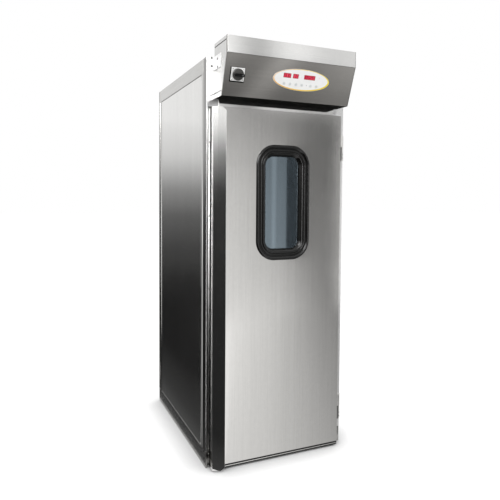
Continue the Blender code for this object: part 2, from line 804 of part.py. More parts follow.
def build_keypad(x):
    """Oval keypad plate, its displays and its buttons."""
    base = GAP
    top = GAP + KEYPAD_THICK
    outline = ellipse(KEYPAD_WIDTH, KEYPAD_HEIGHT, KEYPAD_STEPS)
    panel = fascia_slab("keypad_panel", outline, base, top, x, KEYPAD_DROP, WHITE_PLASTIC)
    lift = KEYPAD_HEIGHT / 2 * DISPLAY_LIFT_SHARE
    displays = zip(DISPLAY_WIDTHS, DISPLAY_OFFSETS_SHARE)
    for i, (width, share) in enumerate(displays):
        place = (x + KEYPAD_WIDTH / 2 * share, KEYPAD_DROP - lift)
        hole = fascia_slab(
            f"display_cutter_{i + 1}",
            oblong(width + 2 * GAP, DISPLAY_HEIGHT + 2 * GAP),
            base - CUT,
            top + CUT,
            *place,
        )
        cut(panel, hole)
        fascia_slab(
            f"display_window_{i + 1}",
            oblong(width, DISPLAY_HEIGHT),
            top - DISPLAY_DEPTH,
            top,
            *place,
            RED_LENS,
        )
    drop = KEYPAD_DROP + KEYPAD_HEIGHT / 2 * BUTTON_DROP_SHARE
    reach = top + BUTTON_PROUD
    for i, share in enumerate(BUTTON_SHARES):
        across = x + KEYPAD_WIDTH / 2 * share
        hole = drum(
            f"button_cutter_{i + 1}",
            BUTTON_RADIUS + GAP,
            KEYPAD_THICK + 2 * CUT,
            on_fascia(across, drop, (base + top) / 2),
            sides=BUTTON_SIDES,
        )
        hole.rotation_euler = FASCIA_TURN
        cut(panel, hole)
        button = drum(
            f"keypad_button_{i + 1}",
            BUTTON_RADIUS,
            BUTTON_LENGTH,
            on_fascia(across, drop, reach - BUTTON_LENGTH / 2),
            PALE_PLASTIC,
            sides=BUTTON_SIDES,
        )
        button.rotation_euler = FASCIA_TURN


def build_board(x, far, up):
    """Circuit board on four standoffs, round the opening of the given half width and height."""
    back = -SHEET - GAP
    board = fascia_slab(
        "control_board",
        oblong(2 * (far + BOARD_MARGIN), 2 * (up + BOARD_MARGIN)),
        back - BOARD_STANDOFF - BOARD_THICK,
        back - BOARD_STANDOFF,
        x,
        KEYPAD_DROP,
        BOARD_GREEN,
    )
    far += BOARD_MARGIN / 2
    up += BOARD_MARGIN / 2
    for i, (dx, dy) in enumerate(((far, up), (-far, up), (-far, -up), (far, -up))):
        length = BOARD_STANDOFF + BOARD_THICK / 2
        standoff = drum(
            f"standoff_tool_{i + 1}",
            STANDOFF_RADIUS,
            length,
            on_fascia(x + dx, KEYPAD_DROP + dy, back - length / 2),
            sides=12,
        )
        standoff.rotation_euler = FASCIA_TURN
        join(board, standoff)


def build_switch(fascia, x):
    """Main switch: body behind the fascia, bright plate on it, and a knob on the spindle."""
    hole = drum(
        "spindle_cutter",
        SPINDLE_RADIUS + GAP,
        2 * (SPINDLE_REACH + CUT),
        on_fascia(x, SWITCH_DROP, 0.0),
    )
    hole.rotation_euler = FASCIA_TURN
    back = -SHEET - GAP
    plate_top = GAP + SWITCH_PLATE_THICK
    body = fascia_slab(
        "main_switch_body",
        oblong(SWITCH_BODY, SWITCH_BODY),
        back - SWITCH_BODY_DEPTH,
        back,
        x,
        SWITCH_DROP,
        GREY_PLASTIC,
    )
    plate = fascia_slab(
        "main_switch_plate",
        oblong(SWITCH_PLATE_WIDTH, SWITCH_PLATE_HEIGHT),
        GAP,
        plate_top,
        x,
        SWITCH_DROP,
        BRIGHT_STEEL,
    )
    for piece in (fascia, body, plate):
        cut(piece, hole)
    base = plate_top + GAP
    knob = turned(
        "main_switch_knob",
        [
            (0.0, KNOB_HEIGHT),
            (KNOB_RADIUS - KNOB_ROUND, KNOB_HEIGHT),
            (KNOB_RADIUS, KNOB_HEIGHT - KNOB_ROUND),
            (KNOB_RADIUS, 0.0),
            (SPINDLE_RADIUS, 0.0),
            (SPINDLE_RADIUS, -base - SPINDLE_REACH),
            (0.0, -base - SPINDLE_REACH),
        ],
        on_fascia(x, SWITCH_DROP, base),
        BLACK_PLASTIC,
    )
    knob.rotation_euler = FASCIA_TURN
    length = 2 * (KNOB_RADIUS - KNOB_ROUND)
    grip = fascia_slab(
        "grip_tool",
        oblong(length, GRIP_WIDTH, GRIP_WIDTH / 2 - KNOB_ROUND, 3),
        base + KNOB_ROUND,
        base + KNOB_HEIGHT + GRIP_HEIGHT,
        x,
        SWITCH_DROP,
    )
    join(knob, grip)


def build_gland(end):
    """Cable gland through the right end, with its nose outside and its tail inside."""
    centre = (BOX_RIGHT, FRONT - GLAND_FROM_BACK, BOX_BOTTOM + GLAND_LIFT)
    across = (0.0, math.pi / 2, 0.0)
    hole = drum("gland_cutter", GLAND_RADIUS + GAP, 2 * CUT, centre)
    hole.rotation_euler = across
    cut(end, hole)
    gland = turned(
        "cable_gland",
        [
            (0.0, GAP + GLAND_FLANGE + GLAND_NOSE),
            (GLAND_RADIUS, GAP + GLAND_FLANGE + GLAND_NOSE),
            (GLAND_FLANGE_RADIUS, GAP + GLAND_FLANGE),
            (GLAND_FLANGE_RADIUS, GAP),
            (GLAND_RADIUS, GAP),
            (GLAND_RADIUS, -SHEET - GLAND_TAIL),
            (0.0, -SHEET - GLAND_TAIL),
        ],
        centre,
        BLACK_PLASTIC,
    )
    gland.rotation_euler = across


def build_brackets():
    """Two folded angle brackets, each on a post and on an end of the control box."""
    half = SHEET / 2
    for side, x, sign in (("left", BOX_LEFT, -1), ("right", BOX_RIGHT, 1)):
        stand = x + sign * (GAP + half)
        path = [
            (stand, FRONT - BRACKET_SIDE_LEG),
            (stand, BOX_BACK - half),
            (stand + sign * BRACKET_FRONT_LEG, BOX_BACK - half),
        ]
        low = BODY_HEIGHT - BRACKET_HEIGHT
        folded(f"box_bracket_{side}", path, "Z", low, BODY_HEIGHT, SHEET, STEEL)


def build_contactor():
    """Contactor on the back wall of the control box."""
    x = BOX_LEFT + BOX_WIDTH * CONTACTOR_X_SHARE
    back = BOX_BACK - SHEET - GAP
    top = BOX_TOP - SHEET - CONTACTOR_STEP
    contactor = block(
        "contactor",
        (x - CONTACTOR_WIDTH / 2, back - CONTACTOR_DEPTH, top - CONTACTOR_HEIGHT),
        (x + CONTACTOR_WIDTH / 2, back, top),
        GREY_PLASTIC,
    )
    nose = block(
        "contactor_nose_tool",
        (
            x - CONTACTOR_WIDTH / 2 + CONTACTOR_STEP / 2,
            back - CONTACTOR_DEPTH - CONTACTOR_STEP,
            top - CONTACTOR_HEIGHT + CONTACTOR_STEP,
        ),
        (x + CONTACTOR_WIDTH / 2 - CONTACTOR_STEP / 2, back - GAP, top - CONTACTOR_STEP),
    )
    join(contactor, nose)


def build_door(pivot):
    """Door leaf: pressed skin, foam, back sheet, seals and the pull."""
    window = (WINDOW_X, (DOOR_FRONT + DOOR_BACK) / 2, WINDOW_Z)
    facing = (math.pi / 2, 0.0, 0.0)
    lap = 2 * (WINDOW_LAP - GAP)
    opening = slab(
        "window_cutter",
        [oblong(WINDOW_WIDTH - lap, WINDOW_HEIGHT - lap, WINDOW_RADIUS - lap / 2)],
        DOOR_DEPTH + 2 * CUT,
        window,
        facing,
    )
    liner_front = DOOR_BACK - DOOR_SKIN
    skin = block(
        "door_skin",
        (DOOR_LEFT, DOOR_FRONT, DOOR_BOTTOM),
        (DOOR_RIGHT, liner_front - GAP, DOOR_TOP),
        STEEL,
    )
    hollow = block(
        "door_hollow_cutter",
        (DOOR_LEFT + DOOR_SKIN, DOOR_FRONT + DOOR_SKIN, DOOR_BOTTOM + DOOR_SKIN),
        (DOOR_RIGHT - DOOR_SKIN, liner_front + CUT, DOOR_TOP - DOOR_SKIN),
    )
    cut(skin, hollow, opening)
    fit = DOOR_SKIN + GAP
    core = block(
        "door_core",
        (DOOR_LEFT + fit, DOOR_FRONT + fit, DOOR_BOTTOM + fit),
        (DOOR_RIGHT - fit, liner_front - GAP, DOOR_TOP - fit),
        FOAM,
    )
    cut(core, opening)
    liner = block(
        "door_liner",
        (DOOR_LEFT, liner_front, DOOR_BOTTOM),
        (DOOR_RIGHT, DOOR_BACK, DOOR_TOP),
        STEEL,
    )
    cut(liner, opening)
    pieces = [skin, core, liner, build_seal(), build_sweep(), build_pull()]
    pieces += build_window()
    for piece in pieces:
        hang(piece, pivot)


def build_seal():
    """Three-sided rubber seal on the door's back, along the doorway's left, top and right."""
    near = CHAMBER_HALF + GASKET_INSET
    far = near + GASKET_WIDTH
    foot = DOOR_BOTTOM + GASKET_LIFT
    low = OPENING_TOP + GASKET_INSET
    high = low + GASKET_WIDTH
    outline = [
        (-far, foot),
        (-near, foot),
        (-near, low),
        (near, low),
        (near, foot),
        (far, foot),
        (far, high),
        (-far, high),
    ]
    front = DOOR_BACK + GAP
    back = SEAT - GAP
    place = (0.0, (front + back) / 2, 0.0)
    facing = (math.pi / 2, 0.0, 0.0)
    return slab("door_gasket", [outline], back - front, place, facing, RUBBER)


def build_sweep():
    """Rubber sweep under the door: a carrier strip with a thinner blade."""
    middle = (DOOR_FRONT + DOOR_BACK) / 2
    top = DOOR_BOTTOM - GAP
    step = SWEEP_CLEARANCE + SWEEP_BLADE_HEIGHT
    outline = [
        (middle - SWEEP_CARRIER / 2, top),
        (middle - SWEEP_CARRIER / 2, step),
        (middle - SWEEP_BLADE / 2, step),
        (middle - SWEEP_BLADE / 2, SWEEP_CLEARANCE),
        (middle + SWEEP_BLADE / 2, SWEEP_CLEARANCE),
        (middle + SWEEP_BLADE / 2, step),
        (middle + SWEEP_CARRIER / 2, step),
        (middle + SWEEP_CARRIER / 2, top),
    ]
    place = ((DOOR_LEFT + DOOR_RIGHT) / 2, 0.0, 0.0)
    across = (math.pi / 2, 0.0, math.pi / 2)
    return slab("door_sweep", [outline], DOOR_RIGHT - DOOR_LEFT, place, across, RUBBER)


def build_pull():
    """Full-height pull: a side flange, a narrow fold and a wing to hook the fingers behind."""
    flange = DOOR_LEFT - GAP - PULL_SHEET / 2
    fold = flange + PULL_FOLD_WIDTH
    free = fold + PULL_WING_WIDTH
    path = [
        (flange, FRONT + PULL_REAR),
        (flange, DOOR_FRONT - PULL_SHEET),
        (fold, DOOR_FRONT - PULL_FOLD_PROUD),
        (free, DOOR_FRONT - PULL_FOLD_PROUD - PULL_WING_PROUD),
    ]
    top = DOOR_TOP - PULL_TOP_DROP
    low = SWEEP_CLEARANCE
    pull = folded("door_pull", path, "Z", low, top, PULL_SHEET, STEEL)
    side = 2 * PULL_CHAMFER
    facing = (math.pi / 2, 0.0, 0.0)
    diamond = [(side / 2, 0.0), (0.0, side / 2), (-side / 2, 0.0), (0.0, -side / 2)]
    edge = free + PULL_SHEET / 2
    wing_y = DOOR_FRONT - PULL_FOLD_PROUD - PULL_WING_PROUD
    for name, z in (("top", top), ("bottom", low)):
        place = (edge, wing_y, z)
        corner = slab(f"pull_{name}_cutter", [diamond], 2 * CUT, place, facing)
        cut(pull, corner)
    across = (math.pi / 2, 0.0, math.pi / 2)
    place = (flange, FRONT + PULL_REAR, top)
    corner = slab("pull_rear_cutter", [diamond], CUT, place, across)
    cut(pull, corner)
    return pull


def ring_profile():
    """Cross-section of the window's rubber: x from its middle line outwards, y to the front."""
    half = WINDOW_RING / 2
    neck = half - WINDOW_LAP
    deep = -DOOR_DEPTH - GAP
    rear = deep - REAR_FLANGE
    beads = [(half * x, GAP + BEAD_HEIGHT * y) for x, y in BEAD_SHARES]
    groove = -half + PANE_GROOVE
    fit = PANE_THICK + 2 * GAP
    walls = []
    for depth in (OUTER_PANE_DEPTH, INNER_PANE_DEPTH):
        top = -depth + GAP
        walls += [(-half, top), (groove, top), (groove, top - fit), (-half, top - fit)]
    back = neck + WINDOW_REAR_LAP
    return [
        (half, GAP),
        *beads,
        (-half, -THROAT_DEPTH),
        *walls,
        (-half, rear),
        (back, rear),
        (back, deep),
        (neck, deep),
        (neck, GAP),
    ]


def build_window():
    """Double window: a rubber ring swept round the opening, and two panes in its grooves."""
    half = WINDOW_RING / 2
    path = oblong(WINDOW_WIDTH - 2 * half, WINDOW_HEIGHT - 2 * half, WINDOW_RADIUS - half)
    profile = bpy.data.curves.new("ring_profile", "CURVE")
    profile.dimensions = "2D"
    section = profile.splines.new("POLY")
    points = ring_profile()
    section.points.add(len(points) - 1)
    for point, (outward, forward) in zip(section.points, points):
        point.co = (-outward, forward, 0.0, 1.0)
    section.use_cyclic_u = True
    guide = bpy.data.objects.new("ring_profile_guide", profile)
    CUTTERS.objects.link(guide)
    guide.hide_render = True
    curve = bpy.data.curves.new("window_gasket", "CURVE")
    curve.dimensions = "2D"
    curve.fill_mode = "NONE"
    curve.bevel_mode = "OBJECT"
    curve.bevel_object = guide
    track = curve.splines.new("POLY")
    track.points.add(len(path) - 1)
    for point, (x, y) in zip(track.points, path):
        point.co = (x, y, 0.0, 1.0)
    track.use_cyclic_u = True
    facing = (math.pi / 2, 0.0, 0.0)
    front = (WINDOW_X, DOOR_FRONT, WINDOW_Z)
    gasket = put("window_gasket", welded("window_gasket", curve), front, RUBBER)
    gasket.rotation_euler = facing
    soften(gasket.data)
    pieces = [gasket]
    grow = PANE_GROOVE - GAP
    width = WINDOW_WIDTH - 2 * WINDOW_RING + 2 * grow
    height = WINDOW_HEIGHT - 2 * WINDOW_RING + 2 * grow
    radius = WINDOW_RADIUS - WINDOW_RING + grow
    for name, depth in (("outer", OUTER_PANE_DEPTH), ("inner", INNER_PANE_DEPTH)):
        place = (WINDOW_X, DOOR_FRONT + depth + PANE_THICK / 2, WINDOW_Z)
        outline = oblong(width, height, radius)
        pane = slab(f"window_glass_{name}", [outline], PANE_THICK, place, facing, GLASS)
        pieces.append(pane)
    return pieces


def build_hinges(pivot):
    """Lift-off hinges: a lower half with the pin on the frame, an upper half on the door."""
    for name, low in zip(("lower", "upper"), HINGE_BOTTOMS):
        split = low + HINGE_SPLIT
        high = low + HINGE_HEIGHT
        frame_half = drum(
            f"hinge_frame_leaf_{name}",
            KNUCKLE_RADIUS,
            HINGE_SPLIT,
            (HINGE_X, HINGE_Y, (low + split) / 2),
            STEEL,
        )
        pad = block(
            f"hinge_pad_tool_{name}",
            (HINGE_X - KNUCKLE_RADIUS, HINGE_Y, low),
            (HINGE_X + KNUCKLE_RADIUS, FRONT - GAP, split),
        )
        pin = drum(
            f"hinge_pin_tool_{name}",
            PIN_RADIUS,
            2 * PIN_REACH,
            (HINGE_X, HINGE_Y, split),
            sides=16,
        )
        join(frame_half, pad, pin)
        door_half = drum(
            f"hinge_door_leaf_{name}",
            KNUCKLE_RADIUS,
            high - split - GAP,
            (HINGE_X, HINGE_Y, (high + split + GAP) / 2),
            STEEL,
        )
        arm = block(
            f"hinge_arm_tool_{name}",
            (DOOR_RIGHT + GAP, HINGE_Y - KNUCKLE_RADIUS, split + GAP),
            (HINGE_X, HINGE_Y - KNUCKLE_RADIUS + ARM_THICK, high),
        )
        socket = drum(
            f"hinge_socket_cutter_{name}",
            PIN_RADIUS + GAP,
            2 * (PIN_REACH + GAP),
            (HINGE_X, HINGE_Y, split),
            sides=16,
        )
        join(door_half, arm)
        cut(door_half, socket)
        hang(door_half, pivot)


def clear_scene():
    """Remove whatever the scene holds."""
    for item in list(bpy.data.objects):
        bpy.data.objects.remove(item, do_unlink=True)


clear_scene()
PARTS = bpy.data.collections.new("proofing_cabinet")
CUTTERS = bpy.data.collections.new("cutters")
bpy.context.scene.collection.children.link(PARTS)
bpy.context.scene.collection.children.link(CUTTERS)

door_pivot = bpy.data.objects.new("door_pivot", None)
door_pivot.location = (HINGE_X, HINGE_Y, 0.0)
PARTS.objects.link(door_pivot)

build_frame()
build_walls()
build_roof_and_floor()
build_air_unit()
build_control_box()
build_contactor()
build_door(door_pivot)
build_hinges(door_pivot)
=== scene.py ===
"""Looks of the roll-in proofing cabinet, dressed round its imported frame.

Units are metres, +Z is up, the front faces -Y and the door hangs on the +X side. Each sub-assembly
is a class that builds its meshes and gives them their finishes, and main builds them in order.
"""
from __future__ import annotations

import json
import logging
import math
from dataclasses import dataclass, field
from enum import Enum
from typing import Callable, Sequence

import bmesh
import bpy
from mathutils import Euler, Matrix, Vector

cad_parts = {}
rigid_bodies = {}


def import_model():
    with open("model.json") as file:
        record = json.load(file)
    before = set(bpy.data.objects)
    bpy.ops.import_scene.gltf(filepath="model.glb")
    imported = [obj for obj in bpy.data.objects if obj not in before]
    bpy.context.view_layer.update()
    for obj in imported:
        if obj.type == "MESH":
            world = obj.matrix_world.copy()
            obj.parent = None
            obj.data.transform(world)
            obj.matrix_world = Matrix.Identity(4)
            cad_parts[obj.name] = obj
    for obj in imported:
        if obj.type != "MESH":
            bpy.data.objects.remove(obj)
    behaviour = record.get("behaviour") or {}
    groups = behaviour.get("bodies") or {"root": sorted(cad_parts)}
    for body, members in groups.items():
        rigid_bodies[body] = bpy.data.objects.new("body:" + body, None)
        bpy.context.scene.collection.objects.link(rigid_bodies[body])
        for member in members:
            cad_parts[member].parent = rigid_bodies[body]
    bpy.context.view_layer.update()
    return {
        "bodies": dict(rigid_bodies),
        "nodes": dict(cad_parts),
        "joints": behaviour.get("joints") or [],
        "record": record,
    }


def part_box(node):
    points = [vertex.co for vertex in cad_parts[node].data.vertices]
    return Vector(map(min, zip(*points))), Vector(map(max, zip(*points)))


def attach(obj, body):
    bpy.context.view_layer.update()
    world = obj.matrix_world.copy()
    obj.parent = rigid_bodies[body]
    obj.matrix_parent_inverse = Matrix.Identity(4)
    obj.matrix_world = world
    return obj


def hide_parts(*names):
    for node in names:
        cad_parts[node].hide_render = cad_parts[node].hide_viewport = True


WELD = 0.00002
FLAT_ANGLE = math.radians(0.5)
SMOOTH_ANGLE = math.radians(38.0)
FACING = 0.9
MM = 0.001
SIDES = (("left", -1.0), ("right", 1.0))
HINGES = ("lower", "upper")
ACROSS = (1.0, 0.0, 0.0)
DEEP = (0.0, 1.0, 0.0)
UP = (0.0, 0.0, 1.0)
FLOAT = "NodeSocketFloat"
INT = "NodeSocketInt"
VECTOR = "NodeSocketVector"

log = logging.getLogger("cabinet")

Flat = tuple[float, float]
Point = tuple[float, float, float]
Colour = tuple[float, float, float]
Outline = Sequence[Flat]
Place = Callable[[float, float, float], Vector]
Socket = bpy.types.NodeSocket
Shape = bmesh.types.BMesh
Mesh = bpy.types.Mesh
Item = bpy.types.Object
Material = bpy.types.Material


class NodeBook:
    """Adds nodes to one tree and wires them."""

    def __init__(self, tree: bpy.types.NodeTree) -> None:
        """Start on an emptied tree."""
        self.tree = tree
        tree.nodes.clear()

    def add(self, kind: str, sockets: dict | None = None, **settings: object) -> bpy.types.Node:
        """Add a node, set its properties, and fill or link its inputs.

        Args:
            kind: The node's type name.
            sockets: Values, nodes or sockets, by the input's name or number.
            settings: Properties of the node.

        Returns:
            The new node.
        """
        node = self.tree.nodes.new(kind)
        for key, value in settings.items():
            setattr(node, key, value)
        for key, value in (sockets or {}).items():
            if isinstance(value, bpy.types.Node):
                value = value.outputs[0]
            if isinstance(value, Socket):
                self.tree.links.new(value, node.inputs[key])
            else:
                node.inputs[key].default_value = value
        return node

    def math(self, operation: str, first: object, second: object = 0.0) -> Socket:
        """One sum of two numbers, nodes or sockets."""
        return self.add("ShaderNodeMath", {0: first, 1: second}, operation=operation).outputs[0]

    def spread(self, value: object, low: float, high: float, span: Flat = (0.0, 1.0)) -> Socket:
        """Map a value from a span to the range low to high."""
        sockets = {0: value, 1: span[0], 2: span[1], 3: low, 4: high}
        return self.add("ShaderNodeMapRange", sockets).outputs[0]

    def noise(self, where: object, scale: float, detail: float = 2.0, rough: float = 0.5) -> Socket:
        """A noise value, by its features a metre, its octaves and the share that each adds."""
        sockets = {"Vector": where, "Scale": scale, "Detail": detail, "Roughness": rough}
        return self.add("ShaderNodeTexNoise", sockets).outputs[0]

    def shade(self, colour: Colour, factor: object) -> Socket:
        """A linear colour made lighter or darker by a factor's socket."""
        levels = self.add("ShaderNodeCombineXYZ", {0: factor, 1: factor, 2: factor})
        return self.add("ShaderNodeVectorMath", {0: colour, 1: levels}, operation="MULTIPLY").outputs[0]

    def bump(self, strength: float, distance: float, height: object, **more: object) -> bpy.types.Node:
        """A bump of a height, over another one where Normal gives it."""
        sockets = {"Strength": strength, "Distance": distance, "Height": height, **more}
        return self.add("ShaderNodeBump", sockets)


class MaterialBook(NodeBook):
    """The nodes of a new material."""

    def __init__(self, name: str) -> None:
        """Start a material with an empty tree.

        Args:
            name: The material's name.
        """
        self.material = bpy.data.materials.new(name)
        self.material.use_nodes = True
        super().__init__(self.material.node_tree)

    def where(self) -> Socket:
        """The piece's own coordinates."""
        return self.add("ShaderNodeTexCoord").outputs["Object"]

    def close(self, shader: object) -> Material:
        """Send a shader to the output and hand over the material."""
        self.add("ShaderNodeOutputMaterial", {"Surface": shader})
        return self.material


def new_object(name: str, data: bpy.types.ID) -> Item:
    """An object in the scene.

    Args:
        name: Its name.
        data: Its mesh, curve, lamp or camera.

    Returns:
        The object.
    """
    item = bpy.data.objects.new(name, data)
    bpy.context.scene.collection.objects.link(item)
    return item


def evaluated_mesh(holder: Item) -> Mesh:
    """What an object evaluates to, as a plain mesh."""
    view = bpy.context.evaluated_depsgraph_get()
    return bpy.data.meshes.new_from_object(holder.evaluated_get(view), depsgraph=view)


def as_mesh(shape: Shape, name: str) -> Mesh:
    """Turn a shape into a mesh.

    Args:
        shape: The shape, which is used up.
        name: The mesh's name.

    Returns:
        The mesh.
    """
    mesh = bpy.data.meshes.new(name)
    shape.to_mesh(mesh)
    shape.free()
    return mesh


def prism(
    outline: Outline,
    place: Place,
    low: float,
    high: float,
    inner: Outline = (),
    shape: Shape | None = None,
) -> Shape:
    """A flat plate, or a ring where it has an inner outline.

    Args:
        outline: The plate's points in its own plane.
        place: Gives the place of a point at a height off that plane.
        low: Height of the plate's back.
        high: Height of its face.
        inner: As many points round an opening.
        shape: A shape that the plate is added to.

    Returns:
        That shape, or a new one.
    """
    if shape is None:
        shape = bmesh.new()
    count = len(outline)
    loops = []
    for ring in (outline, inner) if inner else (outline,):
        for height in (low, high):
            loops.append([shape.verts.new(place(u, v, height)) for u, v in ring])
    walls = [(loops[0], loops[1])]
    if inner:
        walls += [(loops[1], loops[3]), (loops[3], loops[2]), (loops[2], loops[0])]
    faces = []
    for first, second in walls:
        for i in range(count):
            j = (i + 1) % count
            faces.append(shape.faces.new((first[i], first[j], second[j], second[i])))
    if not inner:
        faces.append(shape.faces.new(loops[0]))
        faces.append(shape.faces.new(loops[1]))
    bmesh.ops.recalc_face_normals(shape, faces=faces)
    return shape


def straight(u: float, v: float, w: float) -> Vector:
    """Placing of a level plate: across, deep and up."""
    return Vector((u, v, w))


def sideways(sign: float = 1.0) -> Place:
    """Placing of an upright plate: deep, up and outwards along X."""
    return lambda u, v, w: Vector((sign * w, u, v))


def oval(width: float, height: float, centre: Flat = (0.0, 0.0), steps: int = 72) -> Outline:
    """Points round an oval."""
    turns = [2 * math.pi * i / steps for i in range(steps)]
    return [(centre[0] + width / 2 * math.cos(a), centre[1] + height / 2 * math.sin(a)) for a in turns]


def oblong(width: float, height: float, centre: Flat = (0.0, 0.0)) -> Outline:
    """Corners of a rectangle.

    Args:
        width: Its full width.
        height: Its full height.
        centre: Its centre.

    Returns:
        The corners.
    """
    x, y = centre
    half_w, half_h = width / 2, height / 2
    return [(x - half_w, y - half_h), (x + half_w, y - half_h), (x + half_w, y + half_h),
            (x - half_w, y + half_h)]


def wall(start: Flat, end: Flat, heights: Flat) -> list[Point]:
    """Corners of an upright card from one place on the floor to another."""
    (x0, y0), (x1, y1), (low, high) = start, end, heights
    return [(x0, y0, low), (x1, y1, low), (x1, y1, high), (x0, y0, high)]


def level(x: Flat, y: Flat, z: float) -> list[Point]:
    """Corners of a level card."""
    return [(x[0], y[0], z), (x[1], y[0], z), (x[1], y[1], z), (x[0], y[1], z)]


class Grain(Enum):
    """The way the brushing runs: the stretch of its pattern, and the line it follows."""

    UPRIGHT = ((1.0, 1.0, 0.012), (0.02, 0.03, 1.0))
    ACROSS = ((0.012, 1.0, 1.0), (1.0, 0.02, 0.03))
    DEEP = ((1.0, 0.012, 1.0), (0.02, 1.0, 0.03))


@dataclass(frozen=True)
class Finish:
    """A material, and the name of a record's slot, which nothing in the script reads."""

    name: str
    slot: str
    tone: Colour

    def inputs(self, book: MaterialBook) -> dict:
        """The shader's inputs, which each kind of finish gives."""
        raise NotImplementedError

    def build(self) -> Material:
        """Make the material."""
        book = MaterialBook(self.name)
        return book.close(book.add("ShaderNodeBsdfPrincipled", self.inputs(book)))


@dataclass(frozen=True)
class BrushedSteel(Finish):
    """Stainless sheet with fine brushing along one direction."""

    slot: str = "brushed_stainless"
    tone: Colour = (0.70, 0.69, 0.67)
    roughness: float = 0.27
    grain: Grain = Grain.UPRIGHT
    anisotropy: float = 0.45
    streak: float = 0.10
    brushing: float = 0.05
    waviness: float = 0.06
    metal: float = 1.0

    def inputs(self, book: MaterialBook) -> dict:
        """Brushed lines and bands, handling marks and a faint wave of the sheet.

        Args:
            book: The material's book.

        Returns:
            The shader's inputs.
        """
        where = book.where()
        stretch, line = self.grain.value
        along = book.add("ShaderNodeMapping", {"Vector": where, "Scale": stretch})
        fine = book.noise(along, 1400.0, 2.0, 0.6)
        lines = book.noise(along, 260.0, 3.0, 0.65)
        bands = book.noise(along, 22.0, 2.0)
        handled = book.noise(where, 5.0, 4.0, 0.6)
        mottle = book.noise(where, 42.0, 3.0, 0.7)
        mixed = book.math("ADD", book.math("MULTIPLY", lines, 0.7), book.math("MULTIPLY", bands, 0.3))
        tone = book.spread(mixed, 1.0 - self.streak, 1.0 + self.streak, (0.25, 0.75))
        worn = book.spread(mottle, 0.985, 1.015, (0.3, 0.7))
        satin = book.spread(fine, self.roughness * 0.88, self.roughness * 1.12, (0.3, 0.7))
        smears = book.spread(handled, -0.06 * self.roughness, 0.12 * self.roughness, (0.35, 0.7))
        sheet = book.bump(self.waviness, 0.02, book.noise(where, 3.2, 1.0))
        return {
            "Base Color": book.shade(self.tone, book.math("MULTIPLY", tone, worn)),
            "Metallic": self.metal,
            "Roughness": book.math("ADD", satin, smears),
            "Anisotropic": self.anisotropy,
            "Anisotropic Rotation": 0.25,
            "Tangent": book.add("ShaderNodeCombineXYZ", dict(enumerate(line))),
            "Normal": book.bump(self.brushing, 0.0006, lines, Normal=sheet),
        }


@dataclass(frozen=True)
class PlainMetal(Finish):
    """Bright turned or pressed metal, such as screws and pins."""

    slot: str = "bright_stainless"
    tone: Colour = (0.74, 0.73, 0.71)
    roughness: float = 0.2

    def inputs(self, book: MaterialBook) -> dict:
        """Fine turning marks and soft patches.

        Args:
            book: The material's book.

        Returns:
            The shader's inputs.
        """
        where = book.where()
        fine = book.noise(where, 900.0, 3.0, 0.6)
        patches = book.spread(book.noise(where, 60.0, 3.0, 0.6), 0.96, 1.03, (0.3, 0.7))
        return {
            "Base Color": book.shade(self.tone, patches),
            "Metallic": 1.0,
            "Roughness": book.spread(fine, self.roughness * 0.85, self.roughness * 1.2, (0.3, 0.7)),
            "Normal": book.bump(0.02, 0.0002, fine),
        }


@dataclass(frozen=True)
class Galvanised(Finish):
    """Zinc-coated sheet with its crystal spangle."""

    slot: str = "galvanised_steel"
    tone: Colour = (0.55, 0.56, 0.58)

    def inputs(self, book: MaterialBook) -> dict:
        """Flakes of their own lightness and gloss under a little dust.

        Args:
            book: The material's book.

        Returns:
            The shader's inputs.
        """
        where = book.where()
        cells = book.add("ShaderNodeTexVoronoi", {"Vector": where, "Scale": 85.0}, distance="MANHATTAN")
        flake = book.add("ShaderNodeSeparateColor", {0: cells.outputs["Color"]}).outputs[0]
        dust = book.spread(book.noise(where, 30.0, 4.0, 0.6), 0.94, 1.05)
        tone = book.math("MULTIPLY", book.spread(flake, 0.82, 1.12), dust)
        return {
            "Base Color": book.shade(self.tone, tone),
            "Metallic": 0.9,
            "Roughness": book.spread(flake, 0.34, 0.52),
        }


@dataclass(frozen=True)
class Moulded(Finish):
    """Moulded plastic or rubber with a fine texture and a little bloom."""

    roughness: float = 0.42
    texture_scale: float = 700.0
    texture: float = 0.12
    bloom: float = 0.25
    coat: float = 0.0
    gloss: float = 0.5

    def inputs(self, book: MaterialBook) -> dict:
        """Bloom in the colour and roughness, and the mould's texture.

        Args:
            book: The material's book.

        Returns:
            The shader's inputs.
        """
        where = book.where()
        fine = book.noise(where, self.texture_scale, 3.0, 0.6)
        dust = book.noise(where, 24.0, 4.0, 0.65)
        tone = book.spread(dust, 1.0 - self.bloom, 1.0 + self.bloom, (0.3, 0.75))
        return {
            "Base Color": book.shade(self.tone, tone),
            "Roughness": book.spread(dust, self.roughness - 0.05, self.roughness + 0.09, (0.3, 0.7)),
            "Specular IOR Level": self.gloss,
            "Coat Weight": self.coat,
            "Coat Roughness": 0.15,
            "Normal": book.bump(self.texture, 0.0004, fine),
        }


@dataclass(frozen=True)
class Foam(Finish):
    """Poured insulation with open cells."""

    slot: str = "insulation_foam"
    tone: Colour = (0.80, 0.72, 0.50)

    def inputs(self, book: MaterialBook) -> dict:
        """Cells in the bump, and stains in the colour.

        Args:
            book: The material's book.

        Returns:
            The shader's inputs.
        """
        where = book.where()
        cells = book.add("ShaderNodeTexVoronoi", {"Vector": where, "Scale": 420.0})
        stain = book.spread(book.noise(where, 9.0, 4.0, 0.6), 0.82, 1.08, (0.3, 0.7))
        return {
            "Base Color": book.shade(self.tone, stain),
            "Roughness": 0.95,
            "Normal": book.bump(0.5, 0.001, cells),
        }


